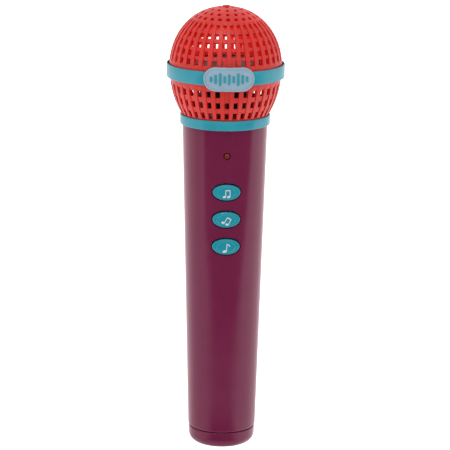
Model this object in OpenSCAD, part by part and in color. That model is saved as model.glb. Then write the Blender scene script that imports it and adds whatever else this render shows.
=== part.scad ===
// Toy microphone: a tapered two-shell handle with three sprung song keys, a power switch and a
// battery door, under a round two-part grille that holds a loudspeaker and a microphone capsule.
// Millimetres. +Z is up, the front is -Y, and the origin is the centre of the flat foot.

/* [Handle] */
// Height of the joint between the end cap and the handle shells
joint_z = 9.4; // [9.2:0.1:10.4]
// Height of the shoulder that the neck ring sits on
shoulder_z = 177; // [176:0.5:182]
// Outer radius of the handle just above the end cap
foot_r = 18.3; // [18.2:0.1:19]
// Outer radius of the handle under the neck ring
neck_r = 22.7; // [22.5:0.1:23.2]
// Wall thickness of the handle shells
wall = 2; // [1.8:0.1:2]

/* [Head] */
// Radius of the upper grille at its equator
dome_r = 30; // [29.6:0.1:30.4]
// Height of the upper grille above the equator
dome_h = 32.8; // [32:0.2:34]
// Radius of the lower grille at its equator
bowl_r = 29.7; // [29.4:0.1:30]
// How far below the equator the lower grille would close, if it went on
bowl_depth = 39; // [38:0.1:40]
// Number of hole columns round each grille
columns = 36; // [30:2:40]
// Share of each column that is open
hole_share = 0.5; // [0.35:0.01:0.55]
// Wall thickness of the grilles at a rib
grille_wall = 2; // [1.8:0.1:2.2]
// How far the upright ribs stand proud of the cross bars
rib_rise = 0.5; // [0.3:0.1:0.7]

/* [Rings and badge] */
// Outer radius of the band round the equator
band_r = 31.4; // [31.2:0.05:32]
// Height of the band
band_h = 7.2; // [6:0.2:8]
// Outer radius of the neck ring
ring_r = 24; // [23.8:0.1:25]
// Width of the badge
badge_w = 26.6; // [24:0.2:28]
// Height of the badge
badge_h = 12.5; // [11:0.5:14]

/* [Keys] */
// Height of the lowest song key
first_key_z = 114.2; // [113:0.2:116]
// Distance from one song key to the next
key_pitch = 14.8; // [14:0.1:15.2]
// Width of a song key
key_w = 14.6; // [13:0.2:15.6]
// Height of a song key
key_h = 8.4; // [8:0.1:9.2]
// How far the middle of a key stands out of the handle
key_rise = 1.3; // [0.5:0.1:1.4]
// Gap between a key and its opening
key_gap = 0.8; // [0.3:0.05:0.85]
// Height of the indicator lamp
lamp_z = 163.3; // [161:0.1:166]

/* [Power] */
// Radius of an AA cell
cell_r = 7.1; // [6.9:0.05:7.15]
// Length of an AA cell without its terminal
cell_len = 49; // [48.5:0.1:49.2]
// Height of the lower edge of the battery door
door_z0 = 21; // [20.5:0.1:21.5]
// Height of the upper edge of the battery door
door_z1 = 91; // [90:0.5:92]
// Width of the battery door
door_w = 28; // [26:0.5:29]
// Height of the middle of the power switch
switch_z = 122; // [118:0.5:126]

/* [Hidden] */
$fn = 96;

// Heights of the head
equator_z = shoulder_z + 29.6;
bowl_floor_z = shoulder_z + 4.7;
flange_h = 1;                           // inner flange of the band, clamped between the grilles
bowl_rim_z = equator_z - flange_h / 2 - 0.6;
dome_rim_z = bowl_rim_z + flange_h;
band_z = equator_z - 0.7;
plug_r = bowl_r - grille_wall - 0.4;    // rim of the upper grille inside the lower one
mic_z = equator_z - 8.2;                // middle of the microphone capsule
segments = 12;                          // straight steps in a quarter of a grille's outline
dome_power = 2.1;                       // a plain ellipse is 2, and a squarer outline is more
crown_button_r = 1.9;                   // small flat button on top of the upper grille
crown_button_h = 0.6;

// Handle
spigot_r = neck_r - 1.2;                // spigot of the shells inside the neck ring
spigot_h = 4.5;
neck_bore_r = spigot_r - 2;
boss_r = 3.2;
case_screw_places = [[12.5, 96], [14, 152]];   // distance from the middle, and height
screw_r = 1.3;
screw_head_y = 8;                       // seat of the case screws' heads
lip_t = 0.9;                            // tongue of the front shell inside the rear one
lip_y = 1.2;
play = 0.1;

// Keys and board
board_y = -11.5;                        // front face of the circuit board
board_t = 1.6;
board_w = 21;
board_z0 = 101.5;
board_z1 = 170;
key_flange_y = -16.5;
key_flange_t = 1;
key_back_y = key_flange_y + key_flange_t;
keypad_t = 1;
keypad_y = board_y - keypad_t;
board_screw_places = [[-7.3, 156], [7.3, 156], [0, 104.4]];
lamp_r = 1.75;
lamp_gap = 0.25;
mark_t = 0.2;                           // thickness of the notes on the keys

// Battery bay
cell_x = 7.5;
cell_y = 4;
bay_z0 = 24;
bay_z1 = 80.5;
cell_z0 = 29.4;                         // lower end of both cells
plate_t = 0.4;
door_gap = 0.2;
door_screw_z = door_z1 - 5;
tray_back_y = -4.6;

// Loudspeaker
cup_base_r = 13.5;
cup_rim_r = 23.6;
cup_wall = 1.4;
speaker_r = cup_rim_r - 0.9;
speaker_z = equator_z + 1;              // underside of the loudspeaker's flange

function handle_r(z) = foot_r + (neck_r - foot_r) * (z - joint_z) / (shoulder_z - joint_z);
function oval(w, h, n = 48) = [for (i = [0:n - 1]) [w / 2 * cos(360 * i / n), h / 2 * sin(360 * i / n)]];
function key_z(i) = first_key_z + i * key_pitch;

// Radius of the upper grille's outline at angle a above the equator, and of the lower one at height z
function dome_point(a, inset) = [
    (dome_r - inset) * pow(cos(a), 2 / dome_power),
    equator_z + (dome_h - inset) * pow(sin(a), 2 / dome_power)];
function bowl_radius(z, inset) = bowl_r * sqrt(1 - pow((equator_z - z) / bowl_depth, 2)) - inset;

// ---------- shared shapes ----------

// Turns a shape drawn in X and Y so that its Y becomes Z, and extrudes it from y0 to y1.
module along_y(y0, y1) {
    translate([0, y1, 0]) rotate([90, 0, 0]) linear_extrude(y1 - y0) children();
}

module rod_y(x, z, r, y0, y1) {
    translate([x, y1, z]) rotate([90, 0, 0]) cylinder(r = r, h = y1 - y0);
}

module ring(r_out, r_in, z0, z1) {
    translate([0, 0, z0]) difference() {
        cylinder(r = r_out, h = z1 - z0);
        translate([0, 0, -1]) cylinder(r = r_in, h = z1 - z0 + 2);
    }
}

module block(x0, x1, y0, y1, z0, z1) {
    translate([x0, y0, z0]) cube([x1 - x0, y1 - y0, z1 - z0]);
}

// The handle's outer cone, taken in by inset.
module handle_cone(inset, z0, z1) {
    translate([0, 0, z0]) cylinder(r1 = handle_r(z0) - inset, r2 = handle_r(z1) - inset, h = z1 - z0);
}

module rounded_rectangle(w, h, r) {
    square([w - 2 * r, h], center = true);
    square([w, h - 2 * r], center = true);
    for (x = [-1, 1], y = [-1, 1]) translate([x * (w / 2 - r), y * (h / 2 - r)]) circle(r);
}

// A self-tapping screw with a pan head, its point at the origin's far side: it runs along -Z from its head's seat.
module screw(shank_r, shank_len, head_r, head_h) {
    difference() {
        union() {
            cylinder(r = head_r, h = head_h);
            translate([0, 0, -shank_len]) cylinder(r = shank_r, h = shank_len + 0.1);
            translate([0, 0, -shank_len - shank_r]) cylinder(r1 = 0.3, r2 = shank_r, h = shank_r);
        }
        for (turn = [0, 90]) rotate([0, 0, turn])
            translate([-head_r * 0.62, -0.35, head_h * 0.45]) cube([head_r * 1.24, 0.7, head_h]);
    }
}

// ---------- handle ----------

module handle_tube() {
    difference() {
        union() {
            handle_cone(0, joint_z, shoulder_z);
            translate([0, 0, shoulder_z - 1]) cylinder(r = spigot_r, h = spigot_h + 1);
        }
        handle_cone(wall, joint_z - 1, shoulder_z - 0.2);
        translate([0, 0, shoulder_z - 2]) cylinder(r = neck_bore_r, h = spigot_h + 4);
        // rounded lower edge
        rotate_extrude() polygon([
            [foot_r - 1, joint_z - 1], [foot_r - 1, joint_z], [foot_r - 0.45, joint_z + 0.35],
            [foot_r - 0.1, joint_z + 0.95], [foot_r + 0.08, joint_z + 2], [foot_r + 3, joint_z + 2],
            [foot_r + 3, joint_z - 1]]);
        // groove for the bead of the end cap
        translate([0, 0, joint_z + 2]) cylinder(r = foot_r - 0.9, h = 1.8);
    }
}

// A tongue t thick along both sides of the joint, as far as y. It lies within the inner half of the
// wall, and starts at the given depth under the wall's inner face.
module side_tongue(start, t, y) {
    intersection() {
        difference() {
            handle_cone(wall - start - t, joint_z + 6, shoulder_z - 6);
            handle_cone(wall - start, joint_z + 5, shoulder_z - 5);
        }
        union() for (s = [-1, 1]) block(min(s * 12, s * 30), max(s * 12, s * 30), -0.8, y, 0, shoulder_z);
    }
}

// Where a boss or post may reach: inside the handle, with its end buried in the wall.
module within_handle() {
    intersection() {
        handle_cone(wall / 2, joint_z + 1, shoulder_z - 1);
        union() children();
    }
}

module front_shell() {
    color([0.43, 0.11, 0.26]) difference() {
        union() {
            intersection() {
                handle_tube();
                block(-40, 40, -40, 0, 0, 200);
            }
            side_tongue(play, lip_t, lip_y);
            within_handle() {
                for (p = case_screw_places, s = [-1, 1]) rod_y(s * p[0], p[1], boss_r, -30, 0);
                for (p = board_screw_places) rod_y(p[0], p[1], 2.4, -30, board_y);
            }
        }
        for (i = [0:2]) translate([0, 0, key_z(i)])
            along_y(-30, -14) polygon(oval(key_w + 2 * key_gap, key_h + 2 * key_gap));
        rod_y(0, lamp_z, lamp_r + lamp_gap, -30, -14);
        for (p = case_screw_places, s = [-1, 1]) rod_y(s * p[0], p[1], screw_r + 0.03, -10.5, 1);
        for (p = board_screw_places) rod_y(p[0], p[1], 1.03, -16.6, 0);
    }
}

module rear_shell() {
    color([0.43, 0.11, 0.26]) difference() {
        union() {
            intersection() {
                handle_tube();
                block(-40, 40, play, 40, 0, 200);
            }
            within_handle() {
                for (p = case_screw_places, s = [-1, 1]) rod_y(s * p[0], p[1], boss_r + 0.9, play, 30);
                // rails that grip the switch
                for (s = [-1, 1]) block(s * 5.8 - 0.6, s * 5.8 + 0.6, 14, 30, switch_z - 7, switch_z + 7);
            }
        }
        side_tongue(-play, lip_t + 3 * play, lip_y + 0.2);
        translate([0, 0, (door_z0 + door_z1) / 2]) along_y(5, 40)
            rounded_rectangle(door_w, door_z1 - door_z0, 4);
        for (p = case_screw_places, s = [-1, 1]) {
            rod_y(s * p[0], p[1], screw_r + 0.25, -1, 30);
            rod_y(s * p[0], p[1], 2.9, screw_head_y, 40);
        }
        // slot of the switch, and the flat recess its knob slides in
        block(-1.8, 1.8, 10, 40, switch_z - 4.2, switch_z + 4.2);
        translate([0, 0, switch_z]) along_y(handle_r(switch_z) - 1, 40) rounded_rectangle(7.4, 11, 1.2);
    }
}

module end_cap() {
    cap_r = foot_r - 0.4;
    round_r = 5;
    spigot = foot_r - wall - 0.3;
    inner = spigot - 1.8;
    color([0.43, 0.11, 0.26]) rotate_extrude() polygon(concat(
        [[0, 0]],
        [for (a = [-90:10:0]) [cap_r - round_r + round_r * cos(a), round_r + round_r * sin(a)]],
        [[cap_r, joint_z - 0.4], [spigot, joint_z - 0.4], [spigot, joint_z + 2.3],
         [spigot + 0.9, joint_z + 2.5], [spigot + 0.9, joint_z + 3.2], [spigot, joint_z + 3.5],
         [spigot, joint_z + 7], [inner, joint_z + 7], [inner, 2.2], [0, 2.2]]));
}

module neck_ring() {
    color([0.24, 0.62, 0.68]) translate([0, 0, shoulder_z + 0.05]) difference() {
        rotate_extrude() polygon([
            [spigot_r + play, 0], [ring_r - 0.5, 0], [ring_r, 0.5],
            [ring_r, 4.95], [ring_r - 0.3, 5.25], [ring_r - 0.5, 5.25],
            [ring_r - 0.5, 4.6], [spigot_r + play, 4.6]]);
    }
}

// ---------- grilles ----------

// The part of a half plane outside a line of points, out to radius far.
module outside(points, far) {
    polygon(concat(points, [[far, points[len(points) - 1][1]], [far, points[0][1]]]));
}

// The slice that opens one column: a groove that leaves the ribs proud, with the holes through it.
module column_cutter(start, sweep) {
    rotate([0, 0, start - sweep / 2]) rotate_extrude(angle = sweep) children();
}

// Angles above the equator of the rows of holes in the upper grille, and their size in degrees
dome_rows = [11.5, 19.7, 28.5, 37.8, 48.6];
dome_hole = 5.2;
dome_groove = [8.5, 52.9];
// Rows of the crown: angle, number of holes, and width of a hole as an angle round the axis
crown_rows = [[58, 24, 6.6], [65.9, 18, 7.8], [74.4, 12, 11], [83.6, 6, 20]];
crown_hole = 4;
// Heights of the rows of holes in the lower grille
bowl_rows = [equator_z - 9.6, equator_z - 15.7, equator_z - 21.7];
bowl_hole = 3.3;
// Turn of the lower grille's columns, and width of the slits left beside the pad behind the badge
bowl_turn = -1.6;
pad_slit = 1.2;

module dome_tooth(a, size) {
    polygon([dome_point(a - size / 2, 5), dome_point(a - size / 2, -3),
             dome_point(a + size / 2, -3), dome_point(a + size / 2, 5)]);
}

module upper_grille() {
    outer = [for (i = [0:segments]) dome_point(90 * i / segments, 0)];
    inner = [for (i = [0:segments]) dome_point(90 * i / segments, grille_wall)];
    pitch = 360 / columns;
    color([0.83, 0.22, 0.2]) {
        difference() {
            rotate_extrude() union() {
                difference() {
                    polygon(concat([[0, equator_z]], outer));
                    polygon(concat([[0, equator_z - 1]], inner));
                    square([80, dome_rim_z * 2], center = true);
                }
                // rim that plugs into the lower grille
                polygon([
                    [plug_r - 1.4, bowl_rim_z - 3], [plug_r, bowl_rim_z - 3], [plug_r, dome_rim_z],
                    [dome_r - grille_wall + 0.4, dome_rim_z], [dome_r - grille_wall + 0.4, dome_rim_z + 2],
                    [plug_r - 1.4, dome_rim_z + 2]]);
                translate([0, equator_z + dome_h - 1.2]) square([crown_button_r, 1.2 + crown_button_h]);
            }
            for (i = [0:columns - 1]) column_cutter(-90 + (i + 0.5) * pitch, pitch * hole_share) {
                outside([for (k = [0:6])
                    dome_point(dome_groove[0] + (dome_groove[1] - dome_groove[0]) * k / 6, rib_rise)], 40);
                for (a = dome_rows)
                    // two holes behind the badge are closed by a pad, apart from a slit
                    if (a != dome_rows[0] || (i != 0 && i != columns - 1)) dome_tooth(a, dome_hole);
            }
            for (s = [-1, 1])
                column_cutter(-90 + s * (pitch * (1 + hole_share) / 2 - pad_slit / 2), pad_slit)
                    dome_tooth(dome_rows[0], dome_hole);
            for (row = crown_rows, i = [0:row[1] - 1])
                column_cutter(-90 + i * 360 / row[1], row[2]) dome_tooth(row[0], crown_hole);
        }
    }
}

module lower_grille() {
    bottom = bowl_floor_z;
    steps = 8;
    heights = [for (i = [0:steps]) bottom + (bowl_rim_z - bottom) * i / steps];
    pitch = 360 / columns;
    neck = neck_bore_r - 0.2;
    groove = [bottom + 1.2, equator_z - 7.6];
    color([0.83, 0.22, 0.2]) {
        difference() {
            union() {
                rotate_extrude() polygon(concat(
                    [for (z = heights) [bowl_radius(z, 0), z]],
                    [for (i = [steps:-1:1]) [bowl_radius(heights[i], grille_wall), heights[i]]],
                    [[bowl_radius(bottom + 1.6, grille_wall), bottom + 1.6], [9, bottom + 1.6], [9, bottom],
                     [neck - 2, bottom], [neck - 2, shoulder_z - 7], [neck, shoulder_z - 7],
                     [neck, shoulder_z - 4.2], [neck + 0.8, shoulder_z - 3.9],
                     [neck + 0.8, shoulder_z - 2.2], [neck, shoulder_z - 2.2], [neck, bottom]]));
                // socket of the microphone boot
                rod_y(0, mic_z, 3.9, -28.2, -25.2);
                // pads under the lugs of the speaker cup
                for (a = [30, 150, 270]) rotate([0, 0, a + 60]) translate([0, -15.4, bottom]) cylinder(r = 2.2, h = 3);
            }
            for (i = [0:columns - 1]) column_cutter(-90 + i * pitch + bowl_turn, pitch * hole_share) {
                outside([for (k = [0:4])
                    let (z = groove[0] + (groove[1] - groove[0]) * k / 4) [bowl_radius(z, rib_rise), z]], 40);
                for (z = bowl_rows)
                    // the hole behind the badge stays closed
                    if (z != bowl_rows[0] || i != 0)
                        translate([bowl_radius(z, 4), z - bowl_hole / 2]) square([14, bowl_hole]);
            }
            rod_y(0, mic_z, 3.15, -27.6, -20);
            for (a = [30, 150, 270]) rotate([0, 0, a + 60])
                translate([0, -15.4, bottom - 1]) cylinder(r = 1.03, h = 6);
            // way down for the microphone's leads
            translate([0, -15.6, bottom - 1]) cylinder(r = 1.7, h = 5);
        }
    }
}

module head_band() {
    grip = bowl_r - grille_wall + 0.2;
    z0 = band_z - band_h / 2;
    z1 = band_z + band_h / 2;
    color([0.24, 0.62, 0.68]) rotate_extrude() polygon([
        [band_r - 0.7, z0], [band_r - 0.3, z0], [band_r, z0 + 0.3],
        [band_r, z1 - 0.3], [band_r - 0.3, z1], [band_r - 0.7, z1],
        [band_r - 0.7, dome_rim_z - 0.05], [grip, dome_rim_z - 0.05],
        [grip, bowl_rim_z + 0.05], [band_r - 0.7, bowl_rim_z + 0.05]]);
}

// A stadium outline, as wide and high as the badge less twice the inset.
module stadium(inset) {
    r = badge_h / 2 - inset;
    square([badge_w - badge_h, 2 * r], center = true);
    for (s = [-1, 1]) translate([s * (badge_w - badge_h) / 2, 0]) circle(r);
}

module badge() {
    color([0.6, 0.72, 0.78]) union() {
        intersection() {
            ring(band_r + 0.8, band_r + 0.03, band_z - 10, band_z + 10);
            translate([0, 0, band_z]) along_y(-40, -20) stadium(0);
        }
        intersection() {
            ring(band_r + 1.2, band_r + 0.5, band_z - 10, band_z + 10);
            translate([0, 0, band_z]) along_y(-40, -20) difference() {
                stadium(0);
                stadium(0.8);
            }
        }
    }
}

// Raised bars of different heights, like a level meter
bar_heights = [3, 4.8, 6.6, 3.8, 5.6, 3.8, 6.6, 4.8, 3];
bar_pitch = 2.35;
bar_w = 1.35;

module badge_bars() {
    color([0.1, 0.55, 0.62]) intersection() {
        ring(band_r + 1.15, band_r + 0.82, band_z - 10, band_z + 10);
        translate([0, 0, band_z]) along_y(-40, -20)
            for (i = [0:8]) translate([(i - 4) * bar_pitch, 0]) square([bar_w, bar_heights[i]], center = true);
    }
}

// ---------- loudspeaker and microphone ----------

module speaker_cup() {
    base = bowl_floor_z + 3.05;
    rim = speaker_z + 2.2;
    color([0.08, 0.08, 0.09]) difference() {
        union() {
            rotate_extrude() polygon([
                [4, base], [cup_base_r, base], [cup_base_r, base + 9], [cup_rim_r, speaker_z - 2],
                [cup_rim_r, rim], [speaker_r + 0.1, rim], [speaker_r + 0.1, speaker_z - 0.05],
                [speaker_r - 1.6, speaker_z - 0.05], [speaker_r - 1.6, speaker_z - 1.6],
                [cup_base_r - cup_wall, base + 9.6], [cup_base_r - cup_wall, base + 1.6], [4, base + 1.6]]);
            for (a = [30, 150, 270]) rotate([0, 0, a + 60]) {
                translate([0, -15.4, base]) cylinder(r = 2.6, h = 1.6);
                block(-2.6, 2.6, -15.4, -12.9, base, base + 1.6);
            }
        }
        for (a = [30, 150, 270]) rotate([0, 0, a + 60])
            translate([0, -15.4, base - 1]) cylinder(r = 1.3, h = 5);
    }
}

module speaker_frame() {
    color([0.55, 0.56, 0.58]) difference() {
        rotate_extrude() polygon([
            [speaker_r, speaker_z], [speaker_r, speaker_z + 1], [speaker_r - 2.4, speaker_z + 1],
            [speaker_r - 3, speaker_z + 0.2], [9.4, speaker_z - 8.3], [5.4, speaker_z - 8.3],
            [5.4, speaker_z - 9.2], [9.9, speaker_z - 9.2], [speaker_r - 2.6, speaker_z - 0.9],
            [speaker_r - 1.8, speaker_z]]);
        // windows of the basket
        for (a = [0:60:300]) rotate([0, 0, a]) block(11, 18, -3.2, 3.2, speaker_z - 9, speaker_z - 1.6);
    }
}

module speaker_magnet() {
    z = speaker_z - 9.25;
    color([0.2, 0.2, 0.21]) union() {
        ring(10.6, 4.2, z - 1, z);
        ring(11.4, 4.2, z - 6, z - 1);
        translate([0, 0, z - 7.2]) cylinder(r = 10.6, h = 1.2);
        // pole piece inside the voice coil
        translate([0, 0, z - 6.1]) cylinder(r = 3.2, h = 6.1);
    }
}

module speaker_cone() {
    t = 0.5;
    color([0.1, 0.1, 0.1]) rotate_extrude() polygon([
        [16.6, speaker_z + 1.6], [16.6, speaker_z + 1.6 + t], [6, speaker_z - 4],
        [4.4, speaker_z - 2.9], [2.4, speaker_z - 2.2], [0, speaker_z - 2],
        [0, speaker_z - 2.5], [2.2, speaker_z - 2.7], [3.6, speaker_z - 3.2],
        [3.6, speaker_z - 9], [4, speaker_z - 9], [4, speaker_z - 4.6], [6, speaker_z - 4.6]]);
}

module speaker_surround() {
    color([0.07, 0.07, 0.08]) rotate_extrude() polygon([
        [16.65, speaker_z + 1.6], [16.65, speaker_z + 2], [17.4, speaker_z + 2.2], [18.4, speaker_z + 2.2],
        [19.3, speaker_z + 1.7], [speaker_r - 0.2, speaker_z + 1.7], [speaker_r - 0.2, speaker_z + 1.05],
        [19.9, speaker_z + 1.05], [18.3, speaker_z + 1.8], [17.5, speaker_z + 1.8]]);
}

module cup_screws() {
    color([0.7, 0.7, 0.72]) for (a = [30, 150, 270]) rotate([0, 0, a + 60])
        translate([0, -15.4, bowl_floor_z + 4.7]) screw(1, 4, 1.9, 1.3);
}

module mic_boot() {
    color([0.12, 0.12, 0.12]) difference() {
        rod_y(0, mic_z, 3.1, -27.5, -24.3);
        rod_y(0, mic_z, 2.3, -27.2, -20);
        rod_y(0, mic_z, 1.2, -30, -20);
    }
}

module mic_capsule() {
    color([0.75, 0.76, 0.78]) difference() {
        rod_y(0, mic_z, 2.25, -27.1, -24.6);
        rod_y(0, mic_z, 0.9, -28, -26.7);
    }
}

// ---------- electronics ----------

module indicator_lamp() {
    color([0.75, 0.12, 0.08]) union() {
        rod_y(0, lamp_z, lamp_r, -handle_r(lamp_z) + 0.9, -13.4);
        rod_y(0, lamp_z, lamp_r + 0.35, -14.2, -13.4);
        for (s = [-1, 1]) block(s * 1.27 - 0.25, s * 1.27 + 0.25, -13.5, board_y, lamp_z - 0.25, lamp_z + 0.25);
    }
}

module circuit_board() {
    color([0.13, 0.4, 0.2]) difference() {
        block(-board_w / 2, board_w / 2, board_y, board_y + board_t, board_z0, board_z1);
        for (p = board_screw_places) rod_y(p[0], p[1], 1.25, -20, 0);
    }
}

board_back = board_y + board_t;

module chip_package() {
    color([0.06, 0.06, 0.07]) union() {
        rod_y(0, 132, 5.6, board_back, board_back + 0.7);
        rod_y(0, 132, 4.2, board_back + 0.6, board_back + 1.4);
    }
}

module capacitors() {
    color([0.1, 0.14, 0.35]) for (p = [[-6, 146, 2.5], [6.4, 146, 2.5], [-6.6, 116, 2]])
        rod_y(p[0], p[1], p[2], board_back, board_back + 3 * p[2]);
}

module chip_resistors() {
    color([0.12, 0.12, 0.13]) for (z = [121.5, 125, 137, 140.5], s = [-1, 1])
        block(s * 8 - 1, s * 8 + 1, board_back, board_back + 0.6, z - 0.6, z + 0.6);
}

module board_screws() {
    color([0.7, 0.7, 0.72]) for (p = board_screw_places)
        translate([p[0], board_back, p[1]]) rotate([-90, 0, 0]) screw(1, 5, 2, 1.3);
}

// The silicone sheet under the keys, with an opening at each dome.
module keypad() {
    z0 = key_z(0) - 6.2;
    z1 = key_z(2) + 6.2;
    color([0.85, 0.85, 0.82]) difference() {
        block(-9.4, 9.4, keypad_y, board_y, z0, z1);
        for (i = [0:2]) rod_y(0, key_z(i), 4.6, -20, 0);
    }
}

// A hollow silicone dome that gives when its key is pressed.
module key_dome(i) {
    h = keypad_y - key_back_y - 0.1;
    color([0.85, 0.85, 0.82]) translate([0, board_y, key_z(i)]) rotate([90, 0, 0]) rotate_extrude() polygon([
        [3.9, 0], [4.55, 0], [4.55, keypad_t], [2.9, keypad_t + h - 0.9], [2.9, keypad_t + h],
        [0, keypad_t + h], [0, keypad_t + 0.7], [2, keypad_t + 0.7], [2, keypad_t + h - 1.1], [3.9, keypad_t]]);
}

// A song key: an oval cap that follows the handle's curve, on a flange behind the wall.
module song_key(i) {
    z = key_z(i);
    color([0.24, 0.62, 0.68]) union() {
        intersection() {
            handle_cone(-key_rise, z - 8, z + 8);
            translate([0, 0, z]) along_y(-30, key_flange_y + 0.2) polygon(oval(key_w, key_h));
        }
        translate([0, 0, z]) along_y(key_flange_y, key_back_y) polygon(oval(key_w + 2.6, key_h + 3.2));
    }
}

// A straight stroke w wide between two points.
module stroke(a, b, w) {
    d = (b - a) / norm(b - a);
    side = [-d[1], d[0]] * w / 2;
    polygon([a - side, b - side, b + side, a + side]);
}

module note_head(x, y, w, h) {
    translate([x, y]) rotate(15) polygon(oval(w, h, 24));
}

module note_pair() {
    note_head(-1.15, -1.9, 1.7, 1.24);
    note_head(1.15, -1.85, 1.7, 1.24);
    stroke([-0.45, -1.8], [-0.42, 1.7], 0.42);
    stroke([1.85, -1.75], [1.8, 1.6], 0.42);
    stroke([-0.6, 1.6], [2, 1.6], 0.55);
}

module single_note() {
    note_head(-0.75, -2.35, 2.3, 1.4);
    stroke([0.25, -2.3], [0.5, 1.75], 0.42);
    stroke([0.35, 1.6], [1.3, 1.3], 0.5);
    stroke([1.15, 1.5], [2.1, 0.4], 0.45);
}

// Raised print on the face of a song key.
module key_mark(i) {
    z = key_z(i);
    face = key_rise + 0.02;
    color([0.85, 0.84, 0.88]) intersection() {
        difference() {
            handle_cone(-face - mark_t, z - 8, z + 8);
            handle_cone(-face, z - 9, z + 9);
        }
        translate([0, 0, z]) along_y(-30, -15) children();
    }
}

// ---------- power ----------

module battery_tray() {
    clear = wall + 0.4;
    color([0.1, 0.1, 0.11]) difference() {
        union() {
            intersection() {
                handle_cone(clear, 17.5, 100);
                union() {
                    block(-20, 20, tray_back_y, cell_y - 0.5, bay_z0 - 1.6, bay_z1 + 1.6);
                    for (z = [bay_z0 - 1.6, bay_z1]) block(-20, 20, tray_back_y, 12, z, z + 1.6);
                }
            }
            // post for the door's screw
            rod_y(0, door_screw_z, 3.2, tray_back_y, handle_r(door_screw_z) - wall - 3.2);
            block(-3.2, 3.2, tray_back_y, 0, bay_z1 + 1, door_screw_z);
        }
        for (s = [-1, 1]) translate([s * cell_x, cell_y, bay_z0]) cylinder(r = cell_r + 0.35, h = bay_z1 - bay_z0);
        // room for the contact plates between the two cells
        for (z = [bay_z0, bay_z1 - plate_t - 0.1])
            block(-4, 4, cell_y - 4.8, 20, z, z + plate_t + 0.1);
        rod_y(0, door_screw_z, 2, 2, 30);
    }
}

// An AA cell: can, shoulder and positive terminal.
module cell(s, up) {
    color([0.2, 0.45, 0.35]) translate([s * cell_x, cell_y, cell_z0 + (up ? 0 : cell_len)])
        mirror([0, 0, up ? 0 : 1]) union() {
            cylinder(r = cell_r, h = cell_len - 0.6);
            translate([0, 0, cell_len - 0.7]) cylinder(r1 = cell_r, r2 = cell_r - 0.7, h = 0.7);
            cylinder(r = 2.7, h = cell_len + 1);
        }
}

// A tapering coil of wire that turns about a vertical line, as one swept solid.
coil_turns = 3.5;
coil_steps = 12;
coil_wire_r = 0.35;

module coil_spring(r0, r1, h) {
    count = coil_turns * coil_steps;
    sides = 6;
    points = [for (i = [0:count]) let (a = 360 * i / coil_steps, f = i / count, r = r0 + (r1 - r0) * f)
        for (k = [0:sides - 1]) let (b = 360 * k / sides, q = r + coil_wire_r * cos(b))
            [q * cos(a), q * sin(a), coil_wire_r + (h - 2 * coil_wire_r) * f + coil_wire_r * sin(b)]];
    sweep_solid(points, count + 1, sides);
}

// Closes rings of points into a tube: rings one after another, each of the same number of sides.
module sweep_solid(points, rings, sides) {
    faces = concat(
        [[for (k = [0:sides - 1]) k]],
        [for (i = [0:rings - 2], k = [0:sides - 1])
            [i * sides + k, (i + 1) * sides + k, i * sides + (k + 1) % sides]],
        [for (i = [0:rings - 2], k = [0:sides - 1])
            [i * sides + (k + 1) % sides, (i + 1) * sides + k, (i + 1) * sides + (k + 1) % sides]],
        [[for (k = [sides - 1:-1:0]) (rings - 1) * sides + k]]);
    polyhedron(points = points, faces = faces);
}

module battery_springs() {
    spring_h = cell_z0 - bay_z0 - plate_t - 0.1;
    color([0.78, 0.78, 0.8]) {
        // under the left cell, and over the right one
        translate([-cell_x, cell_y, bay_z0 + plate_t + 0.02]) coil_spring(5, 3, spring_h);
        translate([cell_x, cell_y, cell_z0 + cell_len + 0.06])
            coil_spring(3, 5, bay_z1 - plate_t - 0.1 - cell_z0 - cell_len);
    }
}

module battery_plates() {
    color([0.78, 0.78, 0.8]) {
        // one strip joins the two cells below
        block(-cell_x - 5.6, cell_x + 5.6, cell_y - 4.6, cell_y + 4.6, bay_z0 + 0.01, bay_z0 + plate_t);
        for (s = [-1, 1]) block(s * cell_x - 5, s * cell_x + 5, cell_y - 4.6, cell_y + 4.6,
                                bay_z1 - plate_t, bay_z1 - 0.01);
        // raised contacts for the two positive terminals
        translate([cell_x, cell_y, bay_z0 + plate_t]) cylinder(r = 3, h = cell_z0 - bay_z0 - plate_t - 1.05);
        translate([-cell_x, cell_y, cell_z0 + cell_len + 1.05])
            cylinder(r = 3, h = bay_z1 - plate_t - cell_z0 - cell_len - 1.05);
    }
}

module battery_door() {
    h = door_z1 - door_z0;
    color([0.43, 0.11, 0.26]) difference() {
        union() {
            intersection() {
                difference() {
                    handle_cone(0, door_z0 - 2, door_z1 + 2);
                    handle_cone(wall, door_z0 - 3, door_z1 + 3);
                }
                translate([0, 0, (door_z0 + door_z1) / 2]) along_y(5, 40)
                    rounded_rectangle(door_w - 2 * door_gap, h - 2 * door_gap, 4 - door_gap);
            }
            // tabs that hook under the shell at the lower edge
            intersection() {
                handle_cone(wall + 0.2, door_z0 - 6, door_z0 + 10);
                union() for (s = [-1, 1])
                    block(s * 7 - 2, s * 7 + 2, 12.9, 20, door_z0 - 2.2, door_z0 + 4);
            }
            intersection() {
                handle_cone(wall / 2, door_z0 - 6, door_z0 + 10);
                union() for (s = [-1, 1])
                    block(s * 7 - 2, s * 7 + 2, 12.9, 20, door_z0 + 1, door_z0 + 4);
            }
            // boss round the screw
            intersection() {
                handle_cone(wall / 2, door_screw_z - 6, door_z1);
                rod_y(0, door_screw_z, 3.6, handle_r(door_screw_z) - wall - 3, 30);
            }
        }
        rod_y(0, door_screw_z, 1.6, 0, 30);
        rod_y(0, door_screw_z, 2.9, handle_r(door_screw_z) - 2.4, 30);
        // finger notch
        translate([0, handle_r(door_z1) + 0.4, door_z1 - 0.6]) rotate([0, 90, 0])
            translate([0, 0, -4.5]) cylinder(r = 1.2, h = 9);
    }
}

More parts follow.
